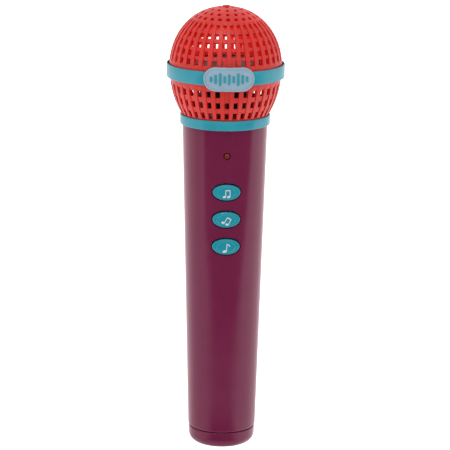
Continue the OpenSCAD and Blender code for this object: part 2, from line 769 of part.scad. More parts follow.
module door_screw() {
    color([0.7, 0.7, 0.72]) translate([0, handle_r(door_screw_z) - 2.38, door_screw_z])
        rotate([-90, 0, 0]) screw(screw_r, 6.5, 2.6, 1.7);
}

module case_screws() {
    color([0.7, 0.7, 0.72]) for (p = case_screw_places, s = [-1, 1])
        translate([s * p[0], screw_head_y, p[1]]) rotate([-90, 0, 0]) screw(screw_r, 16, 2.6, 1.8);
}

module switch_body() {
    color([0.6, 0.6, 0.62]) union() {
        block(-5.1, 5.1, 13, 17.4, switch_z - 6.5, switch_z + 6.5);
        for (i = [-1, 0, 1]) block(-0.3, 0.3, 10, 13.1, switch_z + i * 3 - 0.5, switch_z + i * 3 + 0.5);
    }
}

knob_travel = 4;

module switch_knob() {
    z = switch_z - knob_travel / 2;
    face = handle_r(switch_z) - 1 + 0.12;
    color([0.08, 0.08, 0.09]) difference() {
        union() {
            block(-1.4, 1.4, 17.5, face + 0.5, z - 1.5, z + 1.5);
            translate([0, 0, z]) along_y(face, face + 1.6) rounded_rectangle(6, 6, 0.8);
        }
        // finger grooves
        for (k = [-1, 0, 1]) translate([-4, face + 1.75, z + k * 1.6]) rotate([0, 90, 0]) cylinder(r = 0.45, h = 8);
    }
}

// ---------- leads ----------

lead_d = 1.3;

function unit(v) = v / norm(v);
function curve_at(a, b, c, d, t) =
    0.5 * (2 * b + (c - a) * t + (2 * a - 5 * b + 4 * c - d) * t * t + (3 * b - a - 3 * c + d) * t * t * t);
function smoothed(p, k) = let (n = len(p) - 1) concat(
    [for (i = [0:n - 1], j = [0:k - 1])
        curve_at(p[max(i - 1, 0)], p[i], p[i + 1], p[min(i + 2, n)], j / k)], [p[n]]);

// A round lead along a smooth line through the points.
module lead(route) {
    sides = 8;
    line = smoothed(route, 4);
    n = len(line) - 1;
    points = [for (i = [0:n])
        let (t = unit(line[min(i + 1, n)] - line[max(i - 1, 0)]),
             u = unit(cross(t, [1, 0.02, 0.01])), v = cross(t, u))
        for (k = [0:sides - 1]) let (b = -360 * k / sides)
            line[i] + lead_d / 2 * (cos(b) * u + sin(b) * v)];
    sweep_solid(points, n + 1, sides);
}

// Mirrors a route's points left to right, and moves them by dy along Y.
function beside(route) = [for (p = route) [-p[0], p[1], p[2]]];

speaker_route = [[-1, 0, bowl_floor_z + 3.4], [-1.2, 0, 180], [-3, -3, 172], [-4, -8.4, 166], [-4, -8.9, 163.5],
                 [-4, -9.1, 160]];
mic_route = [[-0.8, -24.55, mic_z], [-0.8, -22.4, mic_z - 0.6], [-0.8, -18.6, mic_z - 7],
             [-0.8, -15.6, 184], [-0.8, -15.6, 180], [-1.4, -12.6, 174], [-7.8, -9, 171.2],
             [-8.2, -9.05, 166]];
battery_route = [[-8, 4, 82.25], [-8, 3.4, 86], [-6, -2, 92], [-3, -7.6, 98], [-3, -9.1, 103.5],
                 [-3, -9.1, 108]];
switch_route = [[-0.1, 9.3, 119], [-1.2, 8, 118.6], [-3, 2, 116.5], [-3.2, -5, 114.5], [-3, -8.4, 112.6],
                [-3, -9, 110.8]];

module red_leads() {
    color([0.75, 0.08, 0.06]) {
        lead(speaker_route);
        lead(mic_route);
        lead(battery_route);
        lead(switch_route);
    }
}

module black_leads() {
    color([0.07, 0.07, 0.07]) {
        lead(beside(speaker_route));
        lead(beside(mic_route));
        lead(beside(battery_route));
    }
}

front_shell();
rear_shell();
end_cap();
neck_ring();
lower_grille();
upper_grille();
head_band();
badge();
badge_bars();
speaker_cup();
speaker_frame();
speaker_magnet();
speaker_cone();
speaker_surround();
cup_screws();
mic_boot();
mic_capsule();
indicator_lamp();
circuit_board();
chip_package();
capacitors();
chip_resistors();
board_screws();
keypad();
key_dome(2);  // key_dome_top
key_dome(1);  // key_dome_middle
key_dome(0);  // key_dome_bottom
song_key(2);  // key_top
song_key(1);  // key_middle
song_key(0);  // key_bottom
key_mark(2) translate([-0.1, -0.25]) note_pair();  // mark_top
key_mark(1) translate([0.1, -0.2]) rotate(-28) note_pair();  // mark_middle
key_mark(0) single_note();  // mark_bottom
battery_tray();
cell(-1, true);  // cell_left
cell(1, false);  // cell_right
battery_springs();
battery_plates();
battery_door();
door_screw();
case_screws();
switch_body();
switch_knob();
red_leads();
black_leads();
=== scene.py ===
import math
import bmesh
import bpy
import numpy as np
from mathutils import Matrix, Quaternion, Vector


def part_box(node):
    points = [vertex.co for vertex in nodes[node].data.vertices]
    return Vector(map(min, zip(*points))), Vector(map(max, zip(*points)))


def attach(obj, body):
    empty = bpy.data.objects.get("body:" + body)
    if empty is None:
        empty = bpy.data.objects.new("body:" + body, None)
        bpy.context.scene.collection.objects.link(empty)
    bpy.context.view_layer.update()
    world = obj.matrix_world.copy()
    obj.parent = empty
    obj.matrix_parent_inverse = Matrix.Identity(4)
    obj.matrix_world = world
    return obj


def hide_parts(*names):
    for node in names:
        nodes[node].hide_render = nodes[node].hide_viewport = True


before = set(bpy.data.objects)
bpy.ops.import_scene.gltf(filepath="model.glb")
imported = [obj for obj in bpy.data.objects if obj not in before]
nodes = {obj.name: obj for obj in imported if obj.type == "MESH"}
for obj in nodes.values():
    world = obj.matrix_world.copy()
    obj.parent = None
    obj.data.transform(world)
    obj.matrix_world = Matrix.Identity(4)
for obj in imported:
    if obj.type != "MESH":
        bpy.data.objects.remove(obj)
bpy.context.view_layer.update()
mm = 0.001


# ---- Studio ----
# A pale seamless floor under an even white light tent, with soft lamps and a narrow strip above. In
# front, a glowing fan seen only in polish carries a painted reflection of the floor: dark where the
# tent's open side would shade it, lighter at the sides. A faint lamp inside the head stands for the
# light that thin red plastic lets through.

camera_distance = 1.2968
camera_azimuth = math.radians(-3.5)
camera_elevation = math.radians(13.71)
camera_roll = math.radians(0.69)
camera_lens = 192.95
look_at = Vector((0.0, 0.0, 0.1209))
sideways = 0.00066
stage_half = 4.0
stage_colour = (0.9, 0.9, 0.9, 1)


def add_object(name, data):
    """A new object in the scene."""
    added = bpy.data.objects.new(name, data)
    bpy.context.scene.collection.objects.link(added)
    return added


def place_camera():
    """A camera at camera_distance from look_at, at the azimuth and elevation above, with a small roll."""
    data = bpy.data.cameras.new("camera")
    data.sensor_width = 36.0
    data.lens = camera_lens
    camera = add_object("camera", data)
    right = Vector((math.cos(camera_azimuth), math.sin(camera_azimuth), 0.0))
    back = Vector((
        math.sin(camera_azimuth) * math.cos(camera_elevation),
        -math.cos(camera_azimuth) * math.cos(camera_elevation),
        math.sin(camera_elevation),
    ))
    camera.rotation_mode = "QUATERNION"
    camera.location = look_at + back * camera_distance + right * sideways
    turn = (-back).to_track_quat("-Z", "Y")
    camera.rotation_quaternion = turn @ Quaternion((0, 0, 1), camera_roll)
    bpy.context.scene.camera = camera


def add_lamp(name, place, aim, width, height, watts, glossy):
    """A flat rectangular lamp at place, facing aim. It shows in polish only where glossy is set."""
    data = bpy.data.lights.new(name, "AREA")
    data.shape = "RECTANGLE"
    data.size = width
    data.size_y = height
    data.energy = watts
    lamp = add_object(name, data)
    lamp.location = place
    lamp.rotation_mode = "QUATERNION"
    lamp.rotation_quaternion = (Vector(aim) - Vector(place)).to_track_quat("-Z", "Y")
    lamp.visible_glossy = glossy


def new_material(name, settings):
    """A material with the given settings of its surface shader."""
    material = bpy.data.materials.new(name)
    material.use_nodes = True
    shader = material.node_tree.nodes["Principled BSDF"]
    for setting, value in settings.items():
        shader.inputs[setting].default_value = value
    return material, material.node_tree, shader


def flat_stage(name, height, glow):
    """A white square sheet at the given height that isn't part of the object, and gives off glow."""
    mesh = bpy.data.meshes.new(name)
    corners = [(x * stage_half, y * stage_half, height) for x, y in ((-1, -1), (1, -1), (1, 1), (-1, 1))]
    mesh.from_pydata(corners, [], [[0, 1, 2, 3]])
    mesh.materials.append(new_material(name, {
        "Base Color": stage_colour,
        "Roughness": 0.9,
        "Specular IOR Level": 0.1,
        "Emission Color": (1, 1, 1, 1),
        "Emission Strength": glow,
    })[0])
    sheet = add_object(name, mesh)
    return sheet


def eased(share):
    """A soft step: t * t * (3 - 2 * t), where t is the share kept between 0 and 1."""
    t = np.clip(share, 0, 1)
    return t * t * (3 - 2 * t)


def painted_floor_reflection():
    """A painted reflection of the floor: a fan of glowing quads round the foot, seen only in polish. Its
    painted light falls from that of a side to the level of its distance inside the open side, which lies
    between two angles that grow with the distance. The right side is painted lighter than the left."""
    turn = np.linspace(-110, 110, 221)
    reach = np.concatenate([np.linspace(0.0132, 0.12, 41), np.geomspace(0.125, 3, 60)])
    a, r = np.meshgrid(turn, reach)
    a = a - math.degrees(camera_azimuth)
    left_light, right_light = 1.2, 1.55
    distances = [0.1, 0.24, 0.46, 0.68]
    left = np.interp(r, distances, [34, 35, 55, 57])
    right = np.interp(r, distances, [36, 47, 66, 78])
    soft = np.interp(r, [0.06, 0.13, 0.25, 0.46, 0.7], [30, 60, 34, 16, 10])
    level = np.interp(r, [0.0235, 0.027, 0.05, 0.065, 0.1, 0.2, 0.27], [1, 0, 0, 0.3, 0.45, 0.12, 0])
    outside = eased(np.where(a < 0, -a - left, a - right) / soft + 0.5)
    light = level + (np.where(a < 0, left_light, right_light) - level) * outside
    # painted dark seams in the reflection, for those between the panels of the tent's left side, from 0.38
    # m outwards
    far = np.clip((r - 0.38) / 0.15, 0, 1)
    for angle, width, depth in ((-85, 1.2, 0.5), (-78.5, 0.9, 0.6), (-74, 1.5, 0.35), (-67, 1.2, 0.3)):
        light = light * (1 - depth * far * np.exp(-((a - angle) / width) ** 2))
    a = np.radians(a + math.degrees(camera_azimuth))
    points = np.stack([r * np.sin(a), -r * np.cos(a), np.full(a.shape, 0.0002)], -1).reshape(-1, 3)
    rows, columns = a.shape
    i, j = np.meshgrid(np.arange(rows - 1), np.arange(columns - 1), indexing="ij")
    corner = i * columns + j
    quads = np.stack([corner, corner + columns, corner + columns + 1, corner + 1], -1)
    mesh = bpy.data.meshes.new("painted_floor_reflection")
    mesh.from_pydata(points.tolist(), [], quads.reshape(-1, 4).tolist())
    shade = mesh.attributes.new("shade", "FLOAT", "POINT")
    shade.data.foreach_set("value", light.ravel())
    material, tree, shader = new_material("painted_floor_reflection", {
        "Base Color": (0, 0, 0, 1),
        "Specular IOR Level": 0.0,
        "Emission Color": (1, 1, 1, 1),
    })
    value = tree.nodes.new("ShaderNodeAttribute")
    value.attribute_name = "shade"
    tree.links.new(value.outputs["Fac"], shader.inputs["Emission Strength"])
    mesh.materials.append(material)
    # the fan's glow is painted reflection, seen only in polish
    sheet = add_object("painted_floor_reflection", mesh)
    for kind in ("camera", "diffuse", "shadow", "transmission"):
        setattr(sheet, f"visible_{kind}", False)


place_camera()
floor = flat_stage("floor", 0.0, 0.4)
floor.visible_camera = False
backdrop = flat_stage("bright_floor", -0.0002, 0.9)
backdrop.visible_diffuse = False
backdrop.visible_glossy = False
backdrop.visible_transmission = False
# painted reflection of the floor: dark in front of the object, lighter at the sides
painted_floor_reflection()
add_lamp("overhead_lamp", (-0.4, -0.7, 1.4), (0, 0, 0.2), 0.5, 0.5, 1.5, False)
add_lamp("rear_lamp", (0.2, 0.9, 1.1), (0, 0, 0.2), 0.6, 0.6, 3, False)
add_lamp("strip_lamp", (-0.15, -0.55, 1.3), (0, 0, 0.15), 0.7, 0.07, 2.2, True)
light_inside = bpy.data.lights.new("light_inside_head", "POINT")
light_inside.energy = 0.026
light_inside.shadow_soft_size = 0.008
inside_lamp = add_object("light_inside_head", light_inside)
inside_lamp.location = (0, 0, 0.2215)
inside_lamp.visible_glossy = False
world = bpy.data.worlds.new("tent")
bpy.context.scene.world = world
world.use_nodes = True
tent_light = world.node_tree.nodes["Background"]
tent_light.inputs["Color"].default_value = (1, 1, 1, 1)
tent_light.inputs["Strength"].default_value = 0.85
bpy.context.scene.view_settings.view_transform = "Standard"


# ---- Circuit board and its parts ----
# A green laminate board carries a blob of black resin over the chip, three small capacitors and
# eight chip resistors. Three plated screws hold it to posts inside the front shell.

def moulded(name, colour, rough=0.35, spread=0.08, grain=2500, relief=0.01, metal=0.0,
            streaks=0.0, clear=0.0, shine=0.5, tint=(1, 1, 1), glow=0.0, rim=0.0):
    """A procedural finish: a base colour that varies by spread, roughness that varies round rough, a
    fine grain of the given density per metre and relief in millimetres, and upright streaks. clear
    lets light through, shine and tint set the highlights, glow scatters light within, and rim is a
    painted highlight: a pink sheen laid along the outline."""
    material, tree, shader = new_material(name, {
        "Metallic": metal,
        "Specular IOR Level": shine,
        "Specular Tint": (*tint, 1),
        "Subsurface Weight": glow,
        "Subsurface Radius": (1.0, 0.12, 0.08),
        "Subsurface Scale": 3.0 * mm,
        "Transmission Weight": clear,
        # rim sets a painted highlight: a pink sheen along the outline
        "Sheen Weight": rim,
        "Sheen Roughness": 0.4,
        "Sheen Tint": (1, 0.25, 0.35, 1),
    })
    place = tree.nodes.new("ShaderNodeTexCoord")

    def noise(density, detail, source):
        """Soft noise of the given density per metre."""
        cloud = tree.nodes.new("ShaderNodeTexNoise")
        cloud.inputs["Scale"].default_value = density
        cloud.inputs["Detail"].default_value = detail
        tree.links.new(source, cloud.inputs["Vector"])
        return cloud.outputs["Fac"]

    # clouds of colour about 14 mm across
    blotch = noise(70, 4, place.outputs["Object"])
    ramp = tree.nodes.new("ShaderNodeValToRGB")
    low = [max(0.0, c * (1 - spread)) for c in colour]
    high = [min(1.0, c * (1 + spread) + 0.02 * spread) for c in colour]
    ramp.color_ramp.elements[0].color = (*low, 1)
    ramp.color_ramp.elements[0].position = 0.3
    ramp.color_ramp.elements[1].color = (*high, 1)
    ramp.color_ramp.elements[1].position = 0.7
    tree.links.new(blotch, ramp.inputs["Fac"])
    tree.links.new(ramp.outputs["Color"], shader.inputs["Base Color"])

    # patches of polish about 4 mm across
    smear = noise(260, 6, place.outputs["Object"])
    span = tree.nodes.new("ShaderNodeMapRange")
    span.inputs["From Min"].default_value = 0.3
    span.inputs["From Max"].default_value = 0.7
    span.inputs["To Min"].default_value = rough * 0.85
    span.inputs["To Max"].default_value = min(1.0, rough * 1.2)
    tree.links.new(smear, span.inputs["Value"])
    tree.links.new(span.outputs["Result"], shader.inputs["Roughness"])

    # fine grain, and under it the streaks, drawn out thirty times along Z
    bump = tree.nodes.new("ShaderNodeBump")
    bump.inputs["Strength"].default_value = 1.0
    bump.inputs["Distance"].default_value = relief * mm
    tree.links.new(noise(grain, 3, place.outputs["Object"]), bump.inputs["Height"])
    if streaks:
        stretch = tree.nodes.new("ShaderNodeMapping")
        stretch.inputs["Scale"].default_value = (1, 1, 0.03)
        tree.links.new(place.outputs["Object"], stretch.inputs["Vector"])
        wave = tree.nodes.new("ShaderNodeBump")
        wave.inputs["Strength"].default_value = 1.0
        wave.inputs["Distance"].default_value = streaks * mm
        tree.links.new(noise(160, 2, stretch.outputs["Vector"]), wave.inputs["Height"])
        tree.links.new(wave.outputs["Normal"], bump.inputs["Normal"])
    tree.links.new(bump.outputs["Normal"], shader.inputs["Normal"])
    return material


def dress(material, *names):
    """Gives the material to whole CAD nodes."""
    for name in names:
        mesh = nodes[name].data
        mesh.materials.clear()
        mesh.materials.append(material)


dress(moulded("solder_mask", (0.03, 0.2, 0.07), 0.3, 0.2, 900, 0.02), "circuit_board")
dress(moulded("black_resin", (0.012, 0.012, 0.013), 0.25, 0.2, 600, 0.05), "chip_package", "chip_resistors")
dress(moulded("capacitor_sleeve", (0.02, 0.03, 0.12), 0.3), "capacitors")
zinc = moulded("zinc_plate", (0.62, 0.62, 0.64), 0.28, 0.1, 3000, 0.01, metal=1.0)
dress(zinc, "board_screws", "cup_screws", "case_screws", "door_screw")


# ---- Keypad ----
# One milky silicone sheet lies on the board under the keys. A thin dome stands in each of its three
# openings, and pushes its key back out.

milky = moulded("milky_silicone", (0.62, 0.62, 0.58), 0.5, 0.06, 1800, 0.01)
dress(milky, "keypad", "key_dome_top", "key_dome_middle", "key_dome_bottom")


# ---- Leads ----
# Thin leads run from the loudspeaker, the capsule, the cells and the switch to the board. They are
# fine copper strands in a sleeve of soft vinyl, red for the positive side and black for the other.

dress(moulded("red_vinyl", (0.5, 0.02, 0.015), 0.35), "red_leads")
dress(moulded("black_vinyl", (0.015, 0.015, 0.015), 0.35), "black_leads")


# ---- Battery tray, cells and contacts ----
# A black tray with two round beds holds the cells side by side. A nickel-plated spring or stud
# meets each end, and a plate below joins the pair.

def jacket_finish():
    """A cell's printed jacket: deep green, with a gold band at the positive end and plain steel ends."""
    green = (0.03, 0.16, 0.09)
    material = moulded("cell_jacket", green, 0.25, 0.1, 1200, 0.005)
    tree = material.node_tree
    shader = tree.nodes["Principled BSDF"]
    place = tree.nodes.new("ShaderNodeTexCoord")
    split = tree.nodes.new("ShaderNodeSeparateXYZ")
    tree.links.new(place.outputs["Object"], split.inputs["Vector"])
    low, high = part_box("cell_left")
    span = tree.nodes.new("ShaderNodeMapRange")
    span.inputs["From Min"].default_value = low.z
    span.inputs["From Max"].default_value = high.z
    tree.links.new(split.outputs["Z"], span.inputs["Value"])
    bands = tree.nodes.new("ShaderNodeValToRGB")
    bands.color_ramp.interpolation = "CONSTANT"
    bands.color_ramp.elements[0].color = (0.5, 0.5, 0.5, 1)
    bands.color_ramp.elements[1].position = 0.02
    bands.color_ramp.elements[1].color = (*green, 1)
    for position, tint in ((0.7, (0.6, 0.42, 0.14, 1)), (0.955, (0.55, 0.55, 0.55, 1))):
        stop = bands.color_ramp.elements.new(position)
        stop.color = tint
    tree.links.new(span.outputs["Result"], bands.inputs["Fac"])
    tree.links.new(bands.outputs["Color"], shader.inputs["Base Color"])
    return material


dress(moulded("black_moulding", (0.02, 0.02, 0.022), 0.45, 0.15, 2500, 0.03), "battery_tray")
dress(moulded("cup_moulding", (0.014, 0.012, 0.018), 0.5, 0.15, 2500, 0.03, shine=0.25), "speaker_cup")
dress(jacket_finish(), "cell_left", "cell_right")
dress(moulded("nickel_plate", (0.7, 0.68, 0.62), 0.22, 0.08, 2500, 0.005, metal=1.0),
      "battery_springs", "battery_plates")


# ---- Handle shells ----
# Two half shells of polished plum plastic, 2 mm thick, meet along both sides. The front one has
# three oval openings and a lamp hole; the rear one has four screw wells, the switch and the door.

foot_radius = 18.3
neck_radius = 22.7
handle_bottom = 9.4
handle_top = 177.0
lip_height = 1.2
lip_top = handle_bottom + lip_height
handle_wall = 2.0
key_heights = {"bottom": 114.2, "middle": 129.0, "top": 143.8}
opening_width = 16.2
opening_height = 10.0
lamp_height = 163.3
door_bottom = 21.0
door_top = 91.0
door_width = 28.0
door_corner = 4.0
switch_height = 122.0
# rim=0.3 below paints a pink highlight along the plum's outline
plum = moulded("polished_plum", (0.13, 0.0108, 0.044), 0.14, 0.05, 1500, 0.0015,
               streaks=0.012, rim=0.3, shine=0.34, tint=(1, 0.8, 0.86))


def handle_radius(z):
    """The handle's outer radius, which grows evenly from foot to neck, less a rounded lower edge: that
    takes off 1 - sqrt(1 - t * t) mm, where t grows from 0 to 1 over the last lip_height down."""
    share = (z - handle_bottom) / (handle_top - handle_bottom)
    down = np.clip((lip_top - z) / lip_height, 0, 1)
    return foot_radius + (neck_radius - foot_radius) * share - (1 - np.sqrt(1 - down ** 2))


def on_handle(x, z, side, lift=0.0):
    """The point of the handle's surface at x and z, on the front (side -1) or the rear (side 1)."""
    x, z = np.broadcast_arrays(np.asarray(x, float), np.asarray(z, float))
    y = side * (np.sqrt(np.maximum(handle_radius(z) ** 2 - x ** 2, 0)) + lift)
    return np.stack([x, y, z], -1)


def add_piece(name, points, faces, body, material, replaced=(), turn_out=True):
    """A piece of the object from points in millimetres and faces. It is shaded smooth over edges of less
    than 40 degrees, and rides on a body. turn_out makes a closed shell's faces point outwards."""
    mesh = bpy.data.meshes.new(name)
    mesh.from_pydata((np.asarray(points, float).reshape(-1, 3) * mm).tolist(), [], faces)
    if turn_out:
        work = bmesh.new()
        work.from_mesh(mesh)
        bmesh.ops.remove_doubles(work, verts=work.verts, dist=1e-7)
        bmesh.ops.recalc_face_normals(work, faces=work.faces)
        work.to_mesh(mesh)
        work.free()
    mesh.validate()
    mesh.shade_smooth()
    mesh.set_sharp_from_angle(angle=math.radians(40))
    mesh.materials.append(material)
    piece = add_object(name, mesh)
    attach(piece, body)
    if replaced:
        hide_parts(*replaced)
    return piece


def thicken(piece, thickness):
    """Gives an open sheet a wall, on its inner side."""
    wall = piece.modifiers.new("wall", "SOLIDIFY")
    wall.thickness = thickness * mm
    wall.offset = -1
    wall.use_even_offset = True


def round_edges(piece, radius, segments=2, angle=40):
    """Rounds every edge sharper than the angle."""
    bevel = piece.modifiers.new("rounding", "BEVEL")
    bevel.width = radius * mm
    bevel.segments = segments
    bevel.limit_method = "ANGLE"
    bevel.angle_limit = math.radians(angle)
    bevel.harden_normals = True
    bevel.use_clamp_overlap = True


def grid_faces(rows, columns, first=0, wrap=False):
    """Quads over a grid of rows by columns points, numbered along the rows; wrap closes each row."""
    across = columns if wrap else columns - 1
    i, j = np.meshgrid(np.arange(rows - 1), np.arange(across), indexing="ij")
    k = (j + 1) % columns
    quads = np.stack([i * columns + j, i * columns + k, (i + 1) * columns + k, (i + 1) * columns + j], -1)
    return (quads.reshape(-1, 4) + first).tolist()


def ring_faces(ring, following):
    """Quads between two closed rings of the same number of points."""
    return np.stack([ring, np.roll(ring, -1), np.roll(following, -1), following], -1).tolist()


def oval_edge(width, height):
    """Sends points round an opening to its oval edge, by their direction."""
    def edge(dx, dz):
        """The point of the oval in the direction of dx, dz."""
        angle = np.arctan2(dz / height, dx / width)
        return width / 2 * np.cos(angle), height / 2 * np.sin(angle)
    return edge


def rounded_edge(width, height, corner):
    """Sends points round an opening to the nearest point of its rounded rectangle."""
    def edge(dx, dz):
        """The nearest point of the rounded rectangle."""
        inner_x = np.clip(dx, corner - width / 2, width / 2 - corner)
        inner_z = np.clip(dz, corner - height / 2, height / 2 - corner)
        away = np.hypot(dx - inner_x, dz - inner_z)
        return inner_x + corner * (dx - inner_x) / away, inner_z + corner * (dz - inner_z) / away
    return edge


def shell_sheet(angles, heights, side, openings):
    """A sheet over the handle's surface, on lines of equal angle and height. Each opening is
    (angle from, to, height from, to, centre x, centre z, edge, rings): the block of cells between
    those lines gives way to rings of quads that close in on the edge. rings then carry the edge on:
    each is (share of the edge's size, depth along Y or None for the surface)."""
    radii = handle_radius(heights)
    x = radii[:, None] * np.sin(np.radians(angles))[None, :]
    z = np.broadcast_to(heights[:, None], x.shape)
    points = [on_handle(x, z, side).reshape(-1, 3)]
    count = x.size
    columns = len(angles)
    keep = np.ones((len(heights) - 1, columns - 1), bool)
    faces = []
    for start, end, low, high, cx, cz, edge, rings in openings:
        i0, i1 = np.searchsorted(angles, [start - 0.01, end - 0.01])
        j0, j1 = np.searchsorted(heights, [low - 0.01, high - 0.01])
        keep[j0:j1, i0:i1] = False
        i = np.r_[np.arange(i0, i1), np.full(j1 - j0, i1), np.arange(i1, i0, -1), np.full(j1 - j0, i0)]
        j = np.r_[np.full(i1 - i0, j0), np.arange(j0, j1), np.full(i1 - i0, j1), np.arange(j1, j0, -1)]
        border = j * columns + i
        dx, dz = x[j, i] - cx, z[j, i] - cz
        ex, ez = edge(dx, dz)
        loop = len(border)
        previous = border
        # three rings close in on the edge, and the rest carry it on
        steps = [(t, 1.0, None) for t in (0.45, 0.8, 1.0)] + [(1.0, share, depth) for share, depth in rings]
        for t, share, depth in steps:
            px = cx + share * (dx + (ex - dx) * t)
            pz = cz + share * (dz + (ez - dz) * t)
            ring = on_handle(px, pz, side)
            if depth is not None:
                ring[:, 1] = side * depth
            points.append(ring)
            current = np.arange(loop) + count
            faces += ring_faces(previous, current)
            previous = current
            count += loop
    j, i = np.nonzero(keep)
    corner = j * columns + i
    faces += np.stack([corner, corner + 1, corner + columns + 1, corner + columns], -1).tolist()
    if side > 0:
        faces = [face[::-1] for face in faces]
    return np.concatenate(points), faces


def lines(*spans):
    """Grid lines through the given stops: each span is (from, to, number of steps)."""
    return np.unique(np.round(np.concatenate([np.linspace(a, b, n + 1) for a, b, n in spans]), 6))


half_turn = lines((-89.8, -87, 1), (-87, 87, 58), (87, 89.8, 1))
key_block = 6.2
lamp_block = 3.6
lamp_hole = 4.0
front_openings = [
    (-27, 27, z - key_block, z + key_block, 0, z, oval_edge(opening_width, opening_height), [])
    for z in key_heights.values()
]
lamp_low, lamp_high = lamp_height - lamp_block, lamp_height + lamp_block
front_openings.append((-9, 9, lamp_low, lamp_high, 0, lamp_height, oval_edge(lamp_hole, lamp_hole), []))
front_spans = [(handle_bottom, lip_top, 8)]
reached, steps = lip_top, 30
for z in key_heights.values():
    front_spans += [(reached, z - key_block, steps), (z - key_block, z + key_block, 8)]
    reached, steps = z + key_block, 1
front_spans += [(reached, lamp_low, 4), (lamp_low, lamp_high, 6), (lamp_high, handle_top, 5)]
front_heights = lines(*front_spans)
points, faces = shell_sheet(half_turn, front_heights, -1, front_openings)
front_shell = add_piece("front_shell_skin", points, faces, "microphone", plum,
                        ["front_shell"], turn_out=False)
thicken(front_shell, handle_wall)
round_edges(front_shell, 0.28, 3)

well_width = 5.8
well_bottom = 8.0
screw_hole = 3.1
well_edge = oval_edge(well_width, well_width)
well_rings = [(1.0, well_bottom), (screw_hole / well_width, well_bottom)]
recess_floor = 20.2
# the door's opening, and the recess that the switch slides in
rear_openings = [
    (-57, 57, 18.6, 92, 0, (door_bottom + door_top) / 2,
     rounded_edge(door_width, door_top - door_bottom, door_corner), []),
    (-15, 15, switch_height - 7, switch_height + 7, 0, switch_height, rounded_edge(7.4, 11, 1.2),
     [(1.0, recess_floor), (0.5, recess_floor)]),
]
# each well: place across and up, the angles of its block of cells, and half the block's height
for place, z, first, last, half in ((12.5, 96, 24, 54, 4), (14, 152, 27, 57, 4.2)):
    for sign in (-1, 1):
        near, far = sorted((sign * first, sign * last))
        rear_openings.append((near, far, z - half, z + half, sign * place, z, well_edge, well_rings))
rear_heights = lines(
    (handle_bottom, lip_top, 8), (lip_top, 18.6, 3), (18.6, 92, 38), (92, 100, 6),
    (100, 115, 6), (115, 129, 10), (129, 147.8, 8), (147.8, 156.2, 6), (156.2, handle_top, 9))
points, faces = shell_sheet(half_turn, rear_heights, 1, rear_openings)
rear_shell = add_piece("rear_shell_skin", points, faces, "microphone", plum,
                       ["rear_shell"], turn_out=False)
thicken(rear_shell, handle_wall)
round_edges(rear_shell, 0.22, 2)


# ---- End cap ----
# A plum plug with a rounded foot. Its skirt fits inside the shells, and a fine gap shows between it
# and them.

def lathe(profile, segments=144):
    """Turns a profile of (radius, height) points round Z. It closes at the axis or on itself."""
    profile = np.asarray(profile, float)
    turn = np.linspace(0, 2 * np.pi, segments, endpoint=False)
    points = np.stack([
        profile[:, :1] * np.cos(turn), profile[:, :1] * np.sin(turn),
        np.broadcast_to(profile[:, 1:], (len(profile), segments)),
    ], -1)
    return points.reshape(-1, 3), grid_faces(len(profile), segments, wrap=True)


def arc(cx, cz, radius, start, end, steps):
    """Points of an arc between two angles, in degrees."""
    angle = np.radians(np.linspace(start, end, steps + 1))
    return np.stack([cx + radius * np.cos(angle), cz + radius * np.sin(angle)], -1)


cap_radius = foot_radius - 0.4
cap_top = handle_bottom - 0.35
cap_floor = 2.2
foot_round = 5.0
skirt_outer = 16.0
skirt_inner = 14.0
skirt_top = handle_bottom + 6
points, faces = lathe(np.concatenate([
    [[0, 0], [6, 0], [11, 0]], arc(cap_radius - foot_round, foot_round, foot_round, -90, 0, 12),
    [[cap_radius, 7.5]], arc(cap_radius - 0.26, cap_top - 0.3, 0.3, 0, 90, 4),
    [[skirt_outer, cap_top], [skirt_outer, skirt_top], [skirt_inner, skirt_top], [skirt_inner, cap_floor],
     [0, cap_floor]]]))
add_piece("end_cap_plug", points, faces, "microphone", plum, ["end_cap"])


# ---- Neck ring ----
# A moulded teal collar between the handle and the head. It drops over the spigot at the top of the
# shells and holds the two together there.

teal = moulded("satin_teal", (0.014, 0.262, 0.335), 0.24, 0.06, 1800, 0.004)
ring_radius = 24.0
ring_bottom = handle_top + 0.05
ring_top = 182.3
spigot_radius = 21.45


def ring_profile(inner, outer, low, high, corner):
    """A rectangle with rounded corners, as a closed profile."""
    return np.concatenate([
        arc(inner + corner, low + corner, corner, 180, 270, 4),
        arc(outer - corner, low + corner, corner, 270, 360, 5),
        arc(outer - corner, high - corner, corner, 0, 90, 5),
        arc(inner + corner, high - corner, corner, 90, 180, 4),
        [[inner, low + corner]]])


def square_ring(inner, outer, low, high, segments=144):
    """A ring with a plain rectangular section."""
    return lathe([[inner, low], [outer, low], [outer, high], [inner, high], [inner, low]], segments)


def joined(*parts):
    """Several pairs of points and faces as one."""
    all_points, all_faces, count = [], [], 0
    for points, faces in parts:
        all_points.append(points)
        all_faces += [[k + count for k in face] for face in faces]
        count += len(points)
    return np.concatenate(all_points), all_faces


points, faces = joined(
    lathe(ring_profile(spigot_radius + 1.6, ring_radius, ring_bottom, ring_top, 0.45)),
    lathe(ring_profile(spigot_radius + 0.05, ring_radius - 0.6, ring_bottom, ring_top - 0.8, 0.2)))
add_piece("neck_collar", points, faces, "microphone", teal, ["neck_ring"])


# ---- Loudspeaker and its cup ----
# A 45 mm loudspeaker lies face up in a black cup, which three screws hold to the floor of the
# lower grille. It has a lacquered basket, a ferrite magnet, a paper cone and a cloth roll.

dress(moulded("black_lacquer", (0.012, 0.011, 0.014), 0.5, 0.15, 2500, 0.015, shine=0.25), "speaker_frame")
dress(moulded("ferrite", (0.05, 0.05, 0.055), 0.5, 0.2, 2500, 0.04), "speaker_magnet")
dress(moulded("cone_paper", (0.03, 0.03, 0.03), 0.8, 0.2, 3500, 0.06), "speaker_cone")
dress(moulded("surround_cloth", (0.02, 0.02, 0.022), 0.7, 0.2, 4500, 0.05), "speaker_surround")


# ---- Microphone capsule ----
# A small aluminium can sits in a rubber boot. The boot is pressed into a socket behind the closed pad
# at the front of the upper grille.

